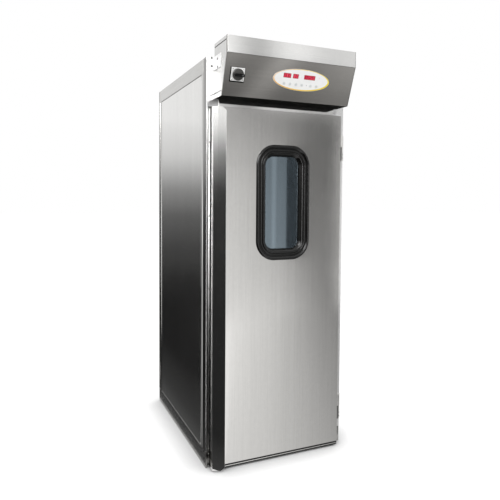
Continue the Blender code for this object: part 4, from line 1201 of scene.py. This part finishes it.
@dataclass
class Body:
    """Posts, rails, plinths, skins and the chamber behind them."""

    shop: Workshop
    fasteners: Fasteners
    bar_rounding: float = 0.0014
    sheet_rounding: float = 0.0005
    sheet: float = 0.002
    bead_width: float = 0.042
    bead_steps: int = 12
    bead_guard: float = 0.0005
    plinth_inset: float = 0.0010
    rivet_radius: float = 0.0048
    rivet_from_front: float = 0.0295
    rivet_heights: Flat = (0.0354, 0.0424)
    screw: Head = Head(0.0042, 0.0022, 0.62)
    screw_edge: float = 0.022
    rear_rows: int = 7
    roof_rows: int = 5

    def build(self) -> None:
        """Make the whole body."""
        shop = self.shop
        # Dark painted-shade copy on each post's sides; the front posts' faces get the near-white
        # painted-light copy, and the rear posts' faces the side panels' steel.
        for end, faces in (("front", LIT_POST_FACES), ("rear", FIELD)):
            for post in shop.rounded(SHADED_POST_SIDES, self.bar_rounding, f"{end}_post_left", f"{end}_post_right"):
                shop.second_finish(post, faces, lambda face: abs(face.normal.y) > FACING)
        shop.rounded(RAILS, self.bar_rounding, "top_rail_left", "top_rail_right")
        shop.rounded(HEADER, self.bar_rounding, "front_header")
        for side, sign in SIDES:
            self.plinth(f"plinth_{side}", sign)
        for side, sign in SIDES:
            self.side_panel(f"side_panel_{side}", sign)
        shop.rounded(ROOFING, self.sheet_rounding, "roof_panel", "floor_plate")
        shop.rounded(REAR, self.sheet_rounding, "rear_panel")
        shop.rounded(LINER, self.sheet_rounding, "chamber_liner", "ceiling_panel", "roof_liner")
        shop.keep(CORE, "roof_insulation", "wall_insulation")
        self.rivets()
        self.screws()

    def plinth(self, node: str, sign: float) -> None:
        """A side plinth, its outer face drawn in a little for the rivet heads.

        Args:
            node: The plinth's node.
            sign: The side's direction along X.
        """
        shape = self.shop.clean_copy(node)
        face = max(abs(corner.x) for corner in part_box(node))
        for vertex in shape.verts:
            if abs(vertex.co.x - sign * face) < WELD:
                vertex.co.x -= sign * self.plinth_inset
        self.shop.piece(f"{node}_finished", shape, PLINTH, "cabinet", [node], self.bar_rounding)

    def side_panel(self, node: str, sign: float) -> None:
        """Outer skin with a rounded bead along its front and rear edge.

        Args:
            node: The panel's node.
            sign: The side's direction along X.
        """
        low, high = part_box(node)
        outer = max(abs(low.x), abs(high.x))
        inner = min(abs(low.x), abs(high.x))
        base = inner + self.sheet
        rise = outer - base
        beads = []
        for start, way in ((low.y, 1.0), (high.y, -1.0)):
            bead = []
            for i in range(self.bead_steps + 1):
                share = i / self.bead_steps
                lift = rise * math.sin(math.pi * share)
                bead.append((base + lift, start + way * self.bead_width * share))
            bead.append((base, start + way * (self.bead_width + self.bead_guard)))
            beads.append(bead)
        outline = beads[0] + beads[1][::-1]
        outline += [(inner, y) for _, y in reversed(outline)]
        shape = prism(outline, lambda x, y, z: Vector((sign * x, y, z)), low.z, high.z)
        self.shop.piece(f"{node}_finished", shape, FIELD, "cabinet", [node])

    def rivets(self) -> None:
        """Two rivets in each plinth."""
        low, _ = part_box("plinth_left")
        head = Head(self.rivet_radius, self.plinth_inset)
        first, step = self.rivet_heights
        for side, sign in SIDES:
            place = (sign * (-low.x - self.plinth_inset), low.y + self.rivet_from_front, first)
            self.fasteners.rows(f"plinth_rivets_{side}", DARK_SCREW, "cabinet", head, (sign, 0.0, 0.0),
                                place, rows=(2, (0.0, 0.0, step)))

    def screws(self) -> None:
        """Screws along the edges of the rear panel and the roof."""
        edge = self.screw_edge
        low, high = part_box("rear_panel")
        columns = (2, (high.x - low.x - 2 * edge, 0.0, 0.0))
        up = (high.z - low.z - 2 * edge) / (self.rear_rows - 1)
        self.fasteners.rows("rear_panel_screws", SCREW, "cabinet", self.screw, DEEP,
                            (low.x + edge, high.y, low.z + edge),
                            columns, (self.rear_rows, (0.0, 0.0, up)))
        low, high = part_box("roof_panel")
        back = (high.y - low.y - 2 * edge) / (self.roof_rows - 1)
        self.fasteners.rows("roof_panel_screws", SCREW, "cabinet", self.screw, UP,
                            (low.x + edge, low.y + edge, high.z),
                            columns, (self.roof_rows, (0.0, back, 0.0)))


@dataclass
class AirUnit:
    """Fan, heater, boiler, probe and lamp over and under the chamber's ceiling."""

    shop: Workshop
    lamp_rounding: float = 0.003

    def build(self) -> None:
        """Dress the air unit."""
        shop = self.shop
        shop.keep(GREY, "fan_motor")
        shop.keep(ZINC, "fan_wheel")
        shop.keep(SCREW, "heater_element", "steam_boiler", "temperature_probe")
        shop.rounded(LAMP, self.lamp_rounding, "chamber_lamp", segments=3)


@dataclass
class ControlBox:
    """Folded box with its sloping fascia, keypad and main switch."""

    shop: Workshop
    fasteners: Fasteners
    sheet_rounding: float = 0.0006
    thin_rounding: float = 0.0005
    moulded_rounding: float = 0.0008
    button_rounding: float = 0.0004
    lean: float = 0.35592
    front: float = -0.673
    bend: float = 2.084
    end_thick: float = 0.002
    # Thickness of the black sheet behind each end plate: painted shade in its open seams.
    end_shade_backing: float = 0.0005
    leaf_back: float = 0.0006
    leaf_inset: float = 0.0003
    return_width: float = 0.012
    fold_gap: float = 0.0005
    seam: float = 0.0042
    lower_seam: float = 0.0240
    upper_seam: float = 0.0188
    underside_inset: Flat = (0.001, 0.002)
    underside_levels: Flat = (-0.0006, -0.0001)
    bolt: Head = Head(0.0056, 0.0022, 0.6)
    bolt_edge: float = 0.0080
    bolt_step: float = 0.0400
    post_bolt: Point = (0.0148, -0.002, 0.014)
    box_bolt: Flat = (0.002, -0.052)
    keypad_x: float = 0.0537
    keypad_drop: float = 0.09394
    keypad_width: float = 0.322
    keypad_height: float = 0.107
    keypad_top: float = 0.0033
    print_sink: float = 0.0001
    print_thick: float = 0.00012
    rim_width: float = 0.0037
    rim_inset: float = 0.0016
    rim_shift: Flat = (0.0022, 0.0016)
    displays: tuple[Flat, ...] = ((0.042, -0.527), (0.031, -0.229), (0.064, 0.269))
    figures: tuple[str, ...] = ("283", "80", "1250")
    figure_size: Flat = (0.0062, 0.0130)
    figure_bar: float = 0.0013
    display_lift: float = 0.0166
    button_shares: tuple[float, ...] = (-0.602, -0.391, -0.180, 0.031, 0.348, 0.559)
    button_drop: float = 0.0241
    ring_size: float = 0.0162
    ring_line: float = 0.0016
    sign_size: float = 0.0052
    sign_levels: Flat = (0.0011, 0.0013)
    colon_place: Flat = (0.0430, 0.0757)
    colon_size: Flat = (0.0115, 0.0097)
    colon_dot: float = 0.0026
    lamp_dot: float = 0.0032
    lamp_place: Flat = (0.1529, 0.0751)
    sensor_place: Flat = (0.0850, 0.1167)
    switch_place: Flat = (-0.2965, 0.09842)
    switch_plate_top: float = 0.0023
    # The black sheet under the switch plate, a painted shadow: its size, its shift down and left, and its
    # levels.
    switch_shadow_sheet: Flat = (0.0765, 0.0715)
    gasket_shift: Flat = (-0.0016, -0.0024)
    shadow_levels: Flat = (0.0001, 0.0012)
    switch_screw: Head = Head(0.0026, 0.0012, 0.6)
    switch_screw_steps: Flat = (0.056, 0.050)
    knob_growth: float = 1.07
    knob_skirt: float = 0.0160
    knob_rounding: float = 0.0016
    pointer_size: Flat = (0.010, 0.0022)
    pointer_place: Flat = (0.016, 0.0)
    pointer_levels: Flat = (0.0324, 0.0327)
    figure_height: float = 0.0056
    figure_depth: float = 0.0001
    figure_places: tuple[tuple[str, Flat], ...] = (("0", (0.0, 0.0293)), ("1", (0.0308, 0.0)))

    def slope(self, x: float, drop: float, out: float) -> Vector:
        """A place on the fascia.

        Args:
            x: Place across the front.
            drop: Distance down the slope from the bend.
            out: Height off the sheet.

        Returns:
            The point.
        """
        down = Vector((0.0, math.sin(self.lean), -math.cos(self.lean)))
        off = Vector((0.0, -math.cos(self.lean), -math.sin(self.lean)))
        return Vector((x, self.front, self.bend)) + down * drop + off * out

    def outwards(self) -> Vector:
        """The way the fascia looks."""
        return self.slope(0.0, 0.0, 1.0) - self.slope(0.0, 0.0, 0.0)

    def on_slope(self, centre: Flat) -> Place:
        """Placing across and up from a centre on the slope, given as its X and its drop."""
        return lambda u, v, w: self.slope(centre[0] + u, centre[1] - v, w)

    def build(self) -> None:
        """Make the box and all that is on it."""
        shop = self.shop
        shop.rounded(BOX, self.sheet_rounding, "control_box_shell")
        shop.rounded(FASCIA, self.sheet_rounding, "control_fascia")
        for side, sign in SIDES:
            self.end_plate(side, sign)
        self.underside()
        shop.rounded(LIT_BRACKET, self.thin_rounding, "box_bracket_left", "box_bracket_right")
        self.bracket_bolts()
        shop.rounded(BLACK, self.moulded_rounding, "cable_gland", segments=3)
        shop.keep(GREY, "main_switch_body", "contactor")
        shop.keep(BOARD, "control_board")
        self.keypad()
        self.rim()
        self.buttons()
        self.marks()
        self.digits()
        self.switch()
        self.knob()
        self.switch_print()

    def edge(self, z: float, draw: float) -> float:
        """The box's front edge at a height, drawn back by some distance.

        Args:
            z: The height.
            draw: Distance back from the sheet.

        Returns:
            Its place along Y.
        """
        if z >= self.bend:
            return self.front + draw
        return self.front + (self.bend - z) * math.tan(self.lean) + draw / math.cos(self.lean)

    def end_plate(self, side: str, sign: float) -> None:
        """An end of the box: a plate in three leaves with open seams, and the front's folded return.

        Args:
            side: Left or right.
            sign: The side's direction along X.
        """
        shop = self.shop
        node = f"control_box_end_{side}"
        low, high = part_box(node)
        outer = max(abs(low.x), abs(high.x))
        foot, top, back, front = low.z, high.z, high.y, low.y
        place = sideways(sign)
        back_face = outer - self.end_thick
        leaf_face = back_face + self.leaf_back
        levels = [foot, foot + self.lower_seam, top - self.upper_seam, top]
        draw = self.return_width + self.fold_gap
        leaves = bmesh.new()
        for i in range(3):
            start = levels[i] + (self.seam / 2 if i else 0.0)
            end = levels[i + 1] - (self.seam / 2 if i < 2 else 0.0)
            outline = [(back, start), (back, end), (self.edge(end, draw), end)]
            if start < self.bend < end:
                outline.append((self.edge(self.bend, draw), self.bend))
            outline.append((self.edge(start, draw), start))
            prism(outline, place, leaf_face, outer - self.leaf_inset, shape=leaves)
        shop.piece(f"{node}_finished", leaves, ENDS, "cabinet", [node], self.leaf_inset)
        nose = [(front, top), (front, self.bend), (self.edge(foot, 0.0), foot)]
        # A black sheet behind the leaves: painted shade that darkens the open seams.
        shade_backing = prism([(back, foot), (back, top), *nose], place, back_face, back_face + self.end_shade_backing)
        shop.piece(f"box_end_shade_backing_{side}", shade_backing, PAINTED_SHADE, "cabinet")
        # The folded return takes the darker painted-shade copy of the steel.
        inset = self.return_width
        fold = nose + [(self.edge(z, inset), z) for z in (foot, self.bend, top)]
        strip = prism(fold, place, leaf_face, outer)
        shop.piece(f"box_end_fold_{side}", strip, SHADED_RETURN, "cabinet", (), self.thin_rounding)

    def underside(self) -> None:
        """Black sheet under the box: painted shade where its underside lies in shadow."""
        low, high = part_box("control_box_shell")
        inset_x, inset_y = self.underside_inset
        foot_front = low.y + (self.bend - low.z) * math.tan(self.lean)
        size = (high.x - low.x - 2 * inset_x, high.y - foot_front - 2 * inset_y)
        centre = ((low.x + high.x) / 2, (high.y + foot_front) / 2)
        start, end = (low.z + height for height in self.underside_levels)
        # Painted shade: a black sheet where the box's underside is in shadow.
        shape = prism(oblong(*size, centre), straight, start, end)
        self.shop.piece("box_underside_painted_shade", shape, PAINTED_SHADE, "cabinet")

    def bracket_bolts(self) -> None:
        """Two bolts in each leg of the two brackets."""
        step = (0.0, 0.0, self.bolt_step)
        across, back, up = self.post_bolt
        out, deep = self.box_bolt
        for side, sign in SIDES:
            low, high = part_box(f"box_bracket_{side}")
            leg = min(abs(low.x), abs(high.x))
            first = low.z + self.bolt_edge
            place = (sign * (leg + across), high.y + back, first + up)
            self.fasteners.rows(f"post_bolts_{side}", BOLT, "cabinet", self.bolt, (0.0, -1.0, 0.0),
                                place, rows=(2, step))
            place = (sign * (leg + out), high.y + deep, first)
            self.fasteners.rows(f"box_bolts_{side}", BOLT, "cabinet", self.bolt, (sign, 0.0, 0.0),
                                place, rows=(2, step))

    def keypad(self) -> None:
        """Oval keypad with its red windows and buttons."""
        shop = self.shop
        shop.rounded(FILM, self.sheet_rounding, "keypad_panel")
        shop.rounded(RED, self.thin_rounding, *(f"display_window_{i}" for i in range(1, 4)))
        shop.rounded(PALE, self.button_rounding, *(f"keypad_button_{i}" for i in range(1, 7)))

    def printed(
        self, outline: Outline, centre: Flat, inner: Outline = (), shape: Shape | None = None
    ) -> Shape:
        """A printed form on the keypad, as thick as its ink.

        Args:
            outline: Its outline.
            centre: Its centre's X and drop.
            inner: Outline of its opening.
            shape: A shape that it is added to.

        Returns:
            That shape, or a new one.
        """
        top = self.keypad_top
        place = self.on_slope(centre)
        return prism(outline, place, top - self.print_sink, top + self.print_thick, inner, shape)

    def rim(self) -> None:
        """Printed ring, thin at the upper left and broad at the lower right."""
        width, height = self.keypad_width - self.rim_inset, self.keypad_height - self.rim_inset
        shift = (-self.rim_shift[0], self.rim_shift[1])
        slim = self.rim_width
        inner = oval(width - 2 * slim - 2 * self.rim_shift[0], height - 2 * slim, shift)
        shape = self.printed(oval(width, height), (self.keypad_x, self.keypad_drop), inner)
        ink = RimInk("rim_ink", left=self.keypad_x - width / 2, right=self.keypad_x + width / 2)
        self.shop.piece("keypad_rim", shape, ink, "cabinet")

    def button_place(self, share: float) -> Flat:
        """A button's place across the front and its drop."""
        return self.keypad_x + self.keypad_width / 2 * share, self.keypad_drop + self.button_drop

    def sign(self, number: int) -> tuple[Outline, Outline]:
        """A button's plain sign: an arrow, a bar or a ring.

        Args:
            number: The button's number.

        Returns:
            Its outline, and that of its opening.
        """
        size = self.sign_size
        if number in (1, 4):
            rise = size / 2 if number == 1 else -size / 2
            return [(-size / 2, -rise), (size / 2, -rise), (0.0, rise)], ()
        if number in (2, 5):
            return oblong(size, size / 4), ()
        return oval(size, size, steps=24), oval(size * 0.6, size * 0.6, steps=24)

    def buttons(self) -> None:
        """The sign on each button."""
        low, high = (self.keypad_top + rise for rise in self.sign_levels)
        for number, share in enumerate(self.button_shares, start=1):
            outline, inner = self.sign(number)
            sign = prism(outline, self.on_slope(self.button_place(share)), low, high, inner)
            self.shop.piece(f"button_sign_{number}", sign, INK, f"button_{number}")

    def marks(self) -> None:
        """Plain printing: a ring round each button, a colon, and the marks of a lamp and a sensor."""
        marks = bmesh.new()
        slim = self.ring_size - self.ring_line
        outer = oval(self.ring_size, self.ring_size, steps=32)
        for share in self.button_shares:
            self.printed(outer, self.button_place(share), oval(slim, slim, steps=32), marks)
        for u in (-0.5, 0.5):
            for v in (-0.5, 0.5):
                centre = (self.colon_place[0] + u * self.colon_size[0],
                          self.colon_place[1] + v * self.colon_size[1])
                self.printed(oval(self.colon_dot, self.colon_dot, steps=20), centre, shape=marks)
        self.shop.piece("keypad_marks", marks, INK, "cabinet")
        dot = oval(self.lamp_dot, self.lamp_dot, steps=20)
        self.shop.piece("keypad_lamp", self.printed(dot, self.lamp_place), RED_INK, "cabinet")
        self.shop.piece("keypad_sensor", self.printed(dot, self.sensor_place), BLACK, "cabinet")

    def digits(self) -> None:
        """Seven-bar figures in the red windows, as plain lit bars."""
        wide, tall = self.figure_size
        bar = self.figure_bar
        bars = {
            "a": (0.0, tall / 2, True), "g": (0.0, 0.0, True), "d": (0.0, -tall / 2, True),
            "b": (wide / 2, tall / 4, False), "c": (wide / 2, -tall / 4, False),
            "f": (-wide / 2, tall / 4, False), "e": (-wide / 2, -tall / 4, False),
        }
        lit = {"0": "abcdef", "1": "bc", "2": "abged", "3": "abgcd", "5": "afgcd", "8": "abcdefg"}
        low, high = self.keypad_top - self.print_sink, self.keypad_top + self.print_sink
        shape = bmesh.new()
        for (width, share), figures in zip(self.displays, self.figures):
            middle = self.keypad_x + self.keypad_width / 2 * share
            pitch = width / (len(figures) + 0.4)
            for i, figure in enumerate(figures):
                x = middle + (i - (len(figures) - 1) / 2) * pitch
                place = self.on_slope((x, self.keypad_drop - self.display_lift))
                for u, v, lying in (bars[key] for key in lit[figure]):
                    size = (wide - bar, bar) if lying else (bar, tall / 2 - bar)
                    prism(oblong(*size, (u, v)), place, low, high, shape=shape)
        self.shop.piece("display_figures", shape, LIT, "cabinet")

    def switch(self) -> None:
        """Main switch's plate, with a thin black sheet under it, set down and to the left as a painted
        shadow.
        """
        self.shop.rounded(WHITE, self.moulded_rounding, "main_switch_plate")
        # The black sheet, shifted down and left of the plate, is a painted shadow of the plate.
        edge = oblong(*self.switch_shadow_sheet, self.gasket_shift)
        gasket = prism(edge, self.on_slope(self.switch_place), *self.shadow_levels)
        self.shop.piece("switch_shadow_sheet", gasket, PAINTED_SHADE, "cabinet", (), self.button_rounding)

    def knob(self) -> None:
        """Round knob, opened out a little, with a darker grip on its skirt and a pointer."""
        node = "main_switch_knob"
        shape = self.shop.clean_copy(node)
        place = self.on_slope(self.switch_place)
        centre = place(0.0, 0.0, 0.0)
        out = self.outwards()
        for vertex in shape.verts:
            arm = vertex.co - centre
            height = out * arm.dot(out)
            vertex.co = centre + height + (arm - height) * self.knob_growth
        name = f"{node}_finished"
        knob = self.shop.piece(name, shape, SKIRT, "switch_knob", [node], self.knob_rounding, 3)
        skirt = self.knob_skirt
        self.shop.second_finish(knob, GRIP, lambda face: (face.center - centre).dot(out) > skirt)
        pointer = prism(oblong(*self.pointer_size, self.pointer_place), place, *self.pointer_levels)
        self.shop.piece("knob_pointer", pointer, GREY, "switch_knob")

    def switch_print(self) -> None:
        """Screws and figures on the switch's plate."""
        place = self.on_slope(self.switch_place)
        across, up = self.switch_screw_steps
        top = self.switch_plate_top
        first = place(-across / 2, -up / 2, top)
        column = place(across / 2, -up / 2, top) - first
        row = place(-across / 2, up / 2, top) - first
        self.fasteners.rows("switch_screws", SCREW, "cabinet", self.switch_screw, self.outwards(),
                            tuple(first), (2, tuple(column)), (2, tuple(row)))
        for text, (u, v) in self.figure_places:
            self.figure(text, place(u, v, top))

    def figure(self, text: str, start: Vector) -> None:
        """A small raised figure on the switch's plate.

        Args:
            text: The figure.
            start: Its centre.
        """
        name = f"switch_figure_{text}"
        curve = bpy.data.curves.new(name, "FONT")
        curve.body = text
        curve.size = self.figure_height
        curve.extrude = self.figure_depth
        curve.align_x = "CENTER"
        curve.align_y = "CENTER"
        holder = new_object(name + "_text", curve)
        mesh = evaluated_mesh(holder)
        bpy.data.objects.remove(holder)
        right = Vector(ACROSS)
        out = self.outwards()
        turn = Matrix((right, out.cross(right), out)).transposed().to_4x4()
        mesh.transform(Matrix.Translation(start) @ turn)
        self.shop.piece(name, mesh, BLACK, "cabinet")


@dataclass
class Door:
    """Leaf, pull, sweep, hinges and the window in its rubber profile."""

    shop: Workshop
    fasteners: Fasteners
    skin_rounding: float = 0.0012
    liner_rounding: float = 0.0006
    seal_rounding: float = 0.003
    sweep_rounding: float = 0.0008
    pull_rounding: float = 0.0007
    window_centre: Point = (0.006, -0.544, 1.371)
    opening_width: float = 0.1935
    opening_height: float = 0.484
    opening_radius: float = 0.045
    corner_steps: int = 14
    lip_gaps: Point = (0.0008, 0.0005, 0.0002)
    lip_chamfer: float = 0.002
    lip_inset: float = 0.001
    strip_heights: Flat = (0.0152, 0.0192)
    strip_depth: float = 0.0016
    strip_gap: float = 0.0002
    strip_proud: float = 0.0004
    strip_inset: float = 0.002
    hinge_axis: Flat = (0.377, -0.5108)
    knuckle: float = 0.0165
    half_height: float = 0.076
    # The hinges' black strips, a painted shadow of the gap: their turns, radii and foot.
    shadow_turns: tuple[float, ...] = (1.365, 1.385, 1.405, 1.425, 1.445, 1.465)
    shadow_radii: Flat = (0.0006, -0.0004)
    shadow_foot: float = 0.001
    pull_screw: Head = Head(0.0044, 0.0016, 0.55)
    pull_screw_depth: float = -0.489
    pull_screw_first: float = 0.186
    pull_screw_step: float = 0.3725
    pull_screw_foot: float = 0.071
    hinge_screw: Head = Head(0.0034, 0.0012, 0.55)
    hinge_screw_sink: float = 0.0002
    hinge_screw_turn: float = 25.0
    hinge_screw_heights: Flat = (0.0163, 0.0195)

    def build(self) -> None:
        """Make the door."""
        shop = self.shop
        shop.rounded(SKIN, self.skin_rounding, "door_skin")
        shop.rounded(LINER, self.liner_rounding, "door_liner")
        shop.keep(CORE, "door_core")
        shop.rounded(SEAL, self.seal_rounding, "door_gasket", segments=3)
        shop.rounded(RUBBER, self.sweep_rounding, "door_sweep")
        shop.rounded(PULL, self.pull_rounding, "door_pull")
        for side in HINGES:
            names = (f"hinge_frame_leaf_{side}", f"hinge_door_leaf_{side}")
            shop.rounded(PINS, self.skin_rounding, *names)
        shop.rounded(MIRROR_PANE, self.liner_rounding, "window_glass_outer")
        shop.rounded(CLEAR_PANE, self.liner_rounding, "window_glass_inner")
        self.gasket()
        self.sweep_lip()
        self.shadow_strips()
        self.pull_screws()
        self.hinge_screws()

    def sweep_lip(self) -> None:
        """Rubber lip under the door's front edge, with the bright strip that clamps it."""
        low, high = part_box("door_skin")
        sweep_low, sweep_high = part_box("door_sweep")
        front_gap, back_gap, top_gap = self.lip_gaps
        front, back = low.y + front_gap, sweep_low.y - back_gap
        foot, top = sweep_low.z, sweep_high.z - top_gap
        drop, rise = self.strip_heights
        groove = front + self.strip_depth
        cut = self.lip_chamfer
        section = [(back, top), (front, top), (front, rise), (groove, rise), (groove, drop),
                   (front, drop), (front, foot + cut), (front + cut, foot), (back - cut, foot),
                   (back, foot + cut)]
        lip = prism(section, sideways(), low.x + self.lip_inset, high.x - self.lip_inset)
        self.shop.piece("sweep_lip", lip, RUBBER, "door")
        gap = self.strip_gap
        rear, face = groove + gap, front + self.strip_proud
        bar = [(rear, drop + gap), (rear, rise - gap), (face, rise - gap), (face, drop + gap)]
        strip = prism(bar, sideways(), low.x + self.strip_inset, high.x - self.strip_inset)
        self.shop.piece("sweep_strip", strip, SCREW, "door", (), gap)

    def shadow_strips(self) -> None:
        """Black strip down the visible side of each hinge's lower half: a painted shadow of the gap by the
        door's edge.
        """
        axis_x, axis_y = self.hinge_axis
        turns = [math.pi * turn for turn in self.shadow_turns]
        outline = []
        for growth, way in zip(self.shadow_radii, (turns, reversed(turns))):
            radius = self.knuckle + growth
            outline += [(axis_x + radius * math.cos(a), axis_y + radius * math.sin(a)) for a in way]
        shape = bmesh.new()
        for side in HINGES:
            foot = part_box(f"hinge_frame_leaf_{side}")[0].z
            prism(outline, straight, foot + self.shadow_foot, foot + self.half_height, shape=shape)
        # Painted shadow: black strips where the gap between hinge and door lies in shade.
        self.shop.piece("hinge_shadow_strips", shape, PAINTED_SHADE, "cabinet")

    def pull_screws(self) -> None:
        """Screws down the pull's flange, and a brighter one at its foot."""
        low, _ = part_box("door_pull")
        facing = (-1.0, 0.0, 0.0)
        first = (low.x, self.pull_screw_depth, self.pull_screw_first)
        self.fasteners.rows("pull_screws", DARK_SCREW, "door", self.pull_screw, facing, first,
                            rows=(5, (0.0, 0.0, self.pull_screw_step)))
        foot = (low.x, self.pull_screw_depth, self.pull_screw_foot)
        self.fasteners.rows("pull_foot_screw", SCREW, "door", self.pull_screw, facing, foot)

    def hinge_screws(self) -> None:
        """Two screws in each hinge's lower half, square to its knuckle."""
        turn = math.radians(self.hinge_screw_turn)
        facing = (math.sin(turn), -math.cos(turn), 0.0)
        seat = self.knuckle - self.hinge_screw_sink
        x, y = (axis + seat * way for axis, way in zip(self.hinge_axis, facing))
        first, step = self.hinge_screw_heights
        for side in HINGES:
            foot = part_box(f"hinge_frame_leaf_{side}")[0].z
            self.fasteners.rows(f"hinge_screws_{side}", DARK_SCREW, "cabinet", self.hinge_screw, facing,
                                (x, y, foot + first), rows=(2, (0.0, 0.0, step)))

    def crown(self, start: Flat, end: Flat, rise: float, steps: int) -> Outline:
        """A round bead between two points of the profile, without its last point.

        Args:
            start: Outward and forward place of its foot.
            end: Place of its other foot.
            rise: How far its crown stands over the line between them.
            steps: Points along it.

        Returns:
            The points.
        """
        points = []
        for i in range(steps):
            share = i / steps
            out = start[0] + (end[0] - start[0]) * share
            ahead = start[1] + (end[1] - start[1]) * share + rise * math.sin(math.pi * share)
            points.append((out, ahead))
        return points

    def profile(self) -> Outline:
        """The rubber's section in millimetres, its four beads first.

        Returns:
            Points outward from the opening's edge, and forward of the door's face.
        """
        return [
            (60, 0.2), (60, 1.6), *self.crown((60, 1.6), (42, 2.4), 5.6, 10)[1:],
            (42, 2.4), (40.5, 0.4), (36, 0.4), *self.crown((35, 2.6), (27.5, 3.0), 1.4, 5),
            (27.5, 3.0), (27, 1.0), (25, 1.0), *self.crown((24.5, 2.2), (17, 1.8), 3.8, 6),
            *self.crown((17, 1.8), (4, -9.0), 2.2, 6), (1.5, -11.0), (0, -14.0),
            (0, -19.8), (8, -19.8), (8, -26.2), (0, -26.2),
            (0, -44.8), (8, -44.8), (8, -51.2), (0, -51.2),
            (0, -62.0), (3, -65.8), (33, -65.8), (36, -62.2), (20, -62.2), (20, 0.2),
        ]

    def gasket(self) -> None:
        """Sweep the rubber's section round the window with Geometry Nodes."""
        sizes = {
            "Width": (FLOAT, self.opening_width),
            "Height": (FLOAT, self.opening_height),
            "Corner radius": (FLOAT, self.opening_radius),
            "Corner steps": (INT, self.corner_steps),
            "Centre": (VECTOR, self.window_centre),
        }
        inputs = {label: kind for label, (kind, _) in sizes.items()}
        tree = PatternTree("window_rubber", inputs, self.shop.material(RUBBER))
        source = tree.source
        frame = tree.add("GeometryNodeCurvePrimitiveQuadrilateral",
                         {"Width": source["Width"], "Height": source["Height"]})
        corners = {"Curve": frame, "Radius": source["Corner radius"], 1: source["Corner steps"]}
        path = tree.add("GeometryNodeFilletCurve", corners, mode="POLY")
        section = tree.add("GeometryNodeMeshToCurve", {"Mesh": source["Geometry"]})
        swept = tree.add("GeometryNodeCurveToMesh", {"Curve": path, "Profile Curve": section})
        stood = {"Geometry": swept, "Translation": source["Centre"],
                 "Rotation": Euler((math.pi / 2, 0.0, 0.0))}
        tree.close(tree.add("GeometryNodeTransform", stood))
        seed = bpy.data.meshes.new("rubber_section")
        points = [(out * MM, -ahead * MM, 0.0) for out, ahead in self.profile()]
        edges = [(i, (i + 1) % len(points)) for i in range(len(points))]
        seed.from_pydata(points, edges, [])
        values = {label: value for label, (_, value) in sizes.items()}
        shape = bmesh.new()
        shape.from_mesh(tree.run("window_rubber", seed, values))
        bmesh.ops.remove_doubles(shape, verts=shape.verts, dist=WELD)
        bmesh.ops.recalc_face_normals(shape, faces=shape.faces)
        self.shop.piece("window_rubber", shape, RUBBER, "door", ["window_gasket"])


def main() -> None:
    """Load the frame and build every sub-assembly in order."""
    logging.basicConfig(level=logging.INFO, format="%(name)s: %(message)s")
    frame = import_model()
    shop = Workshop(frame)
    fasteners = Fasteners(shop)
    Studio().build()
    for part in (Body(shop, fasteners), AirUnit(shop), ControlBox(shop, fasteners), Door(shop, fasteners)):
        part.build()


if __name__ == "__main__":
    main()
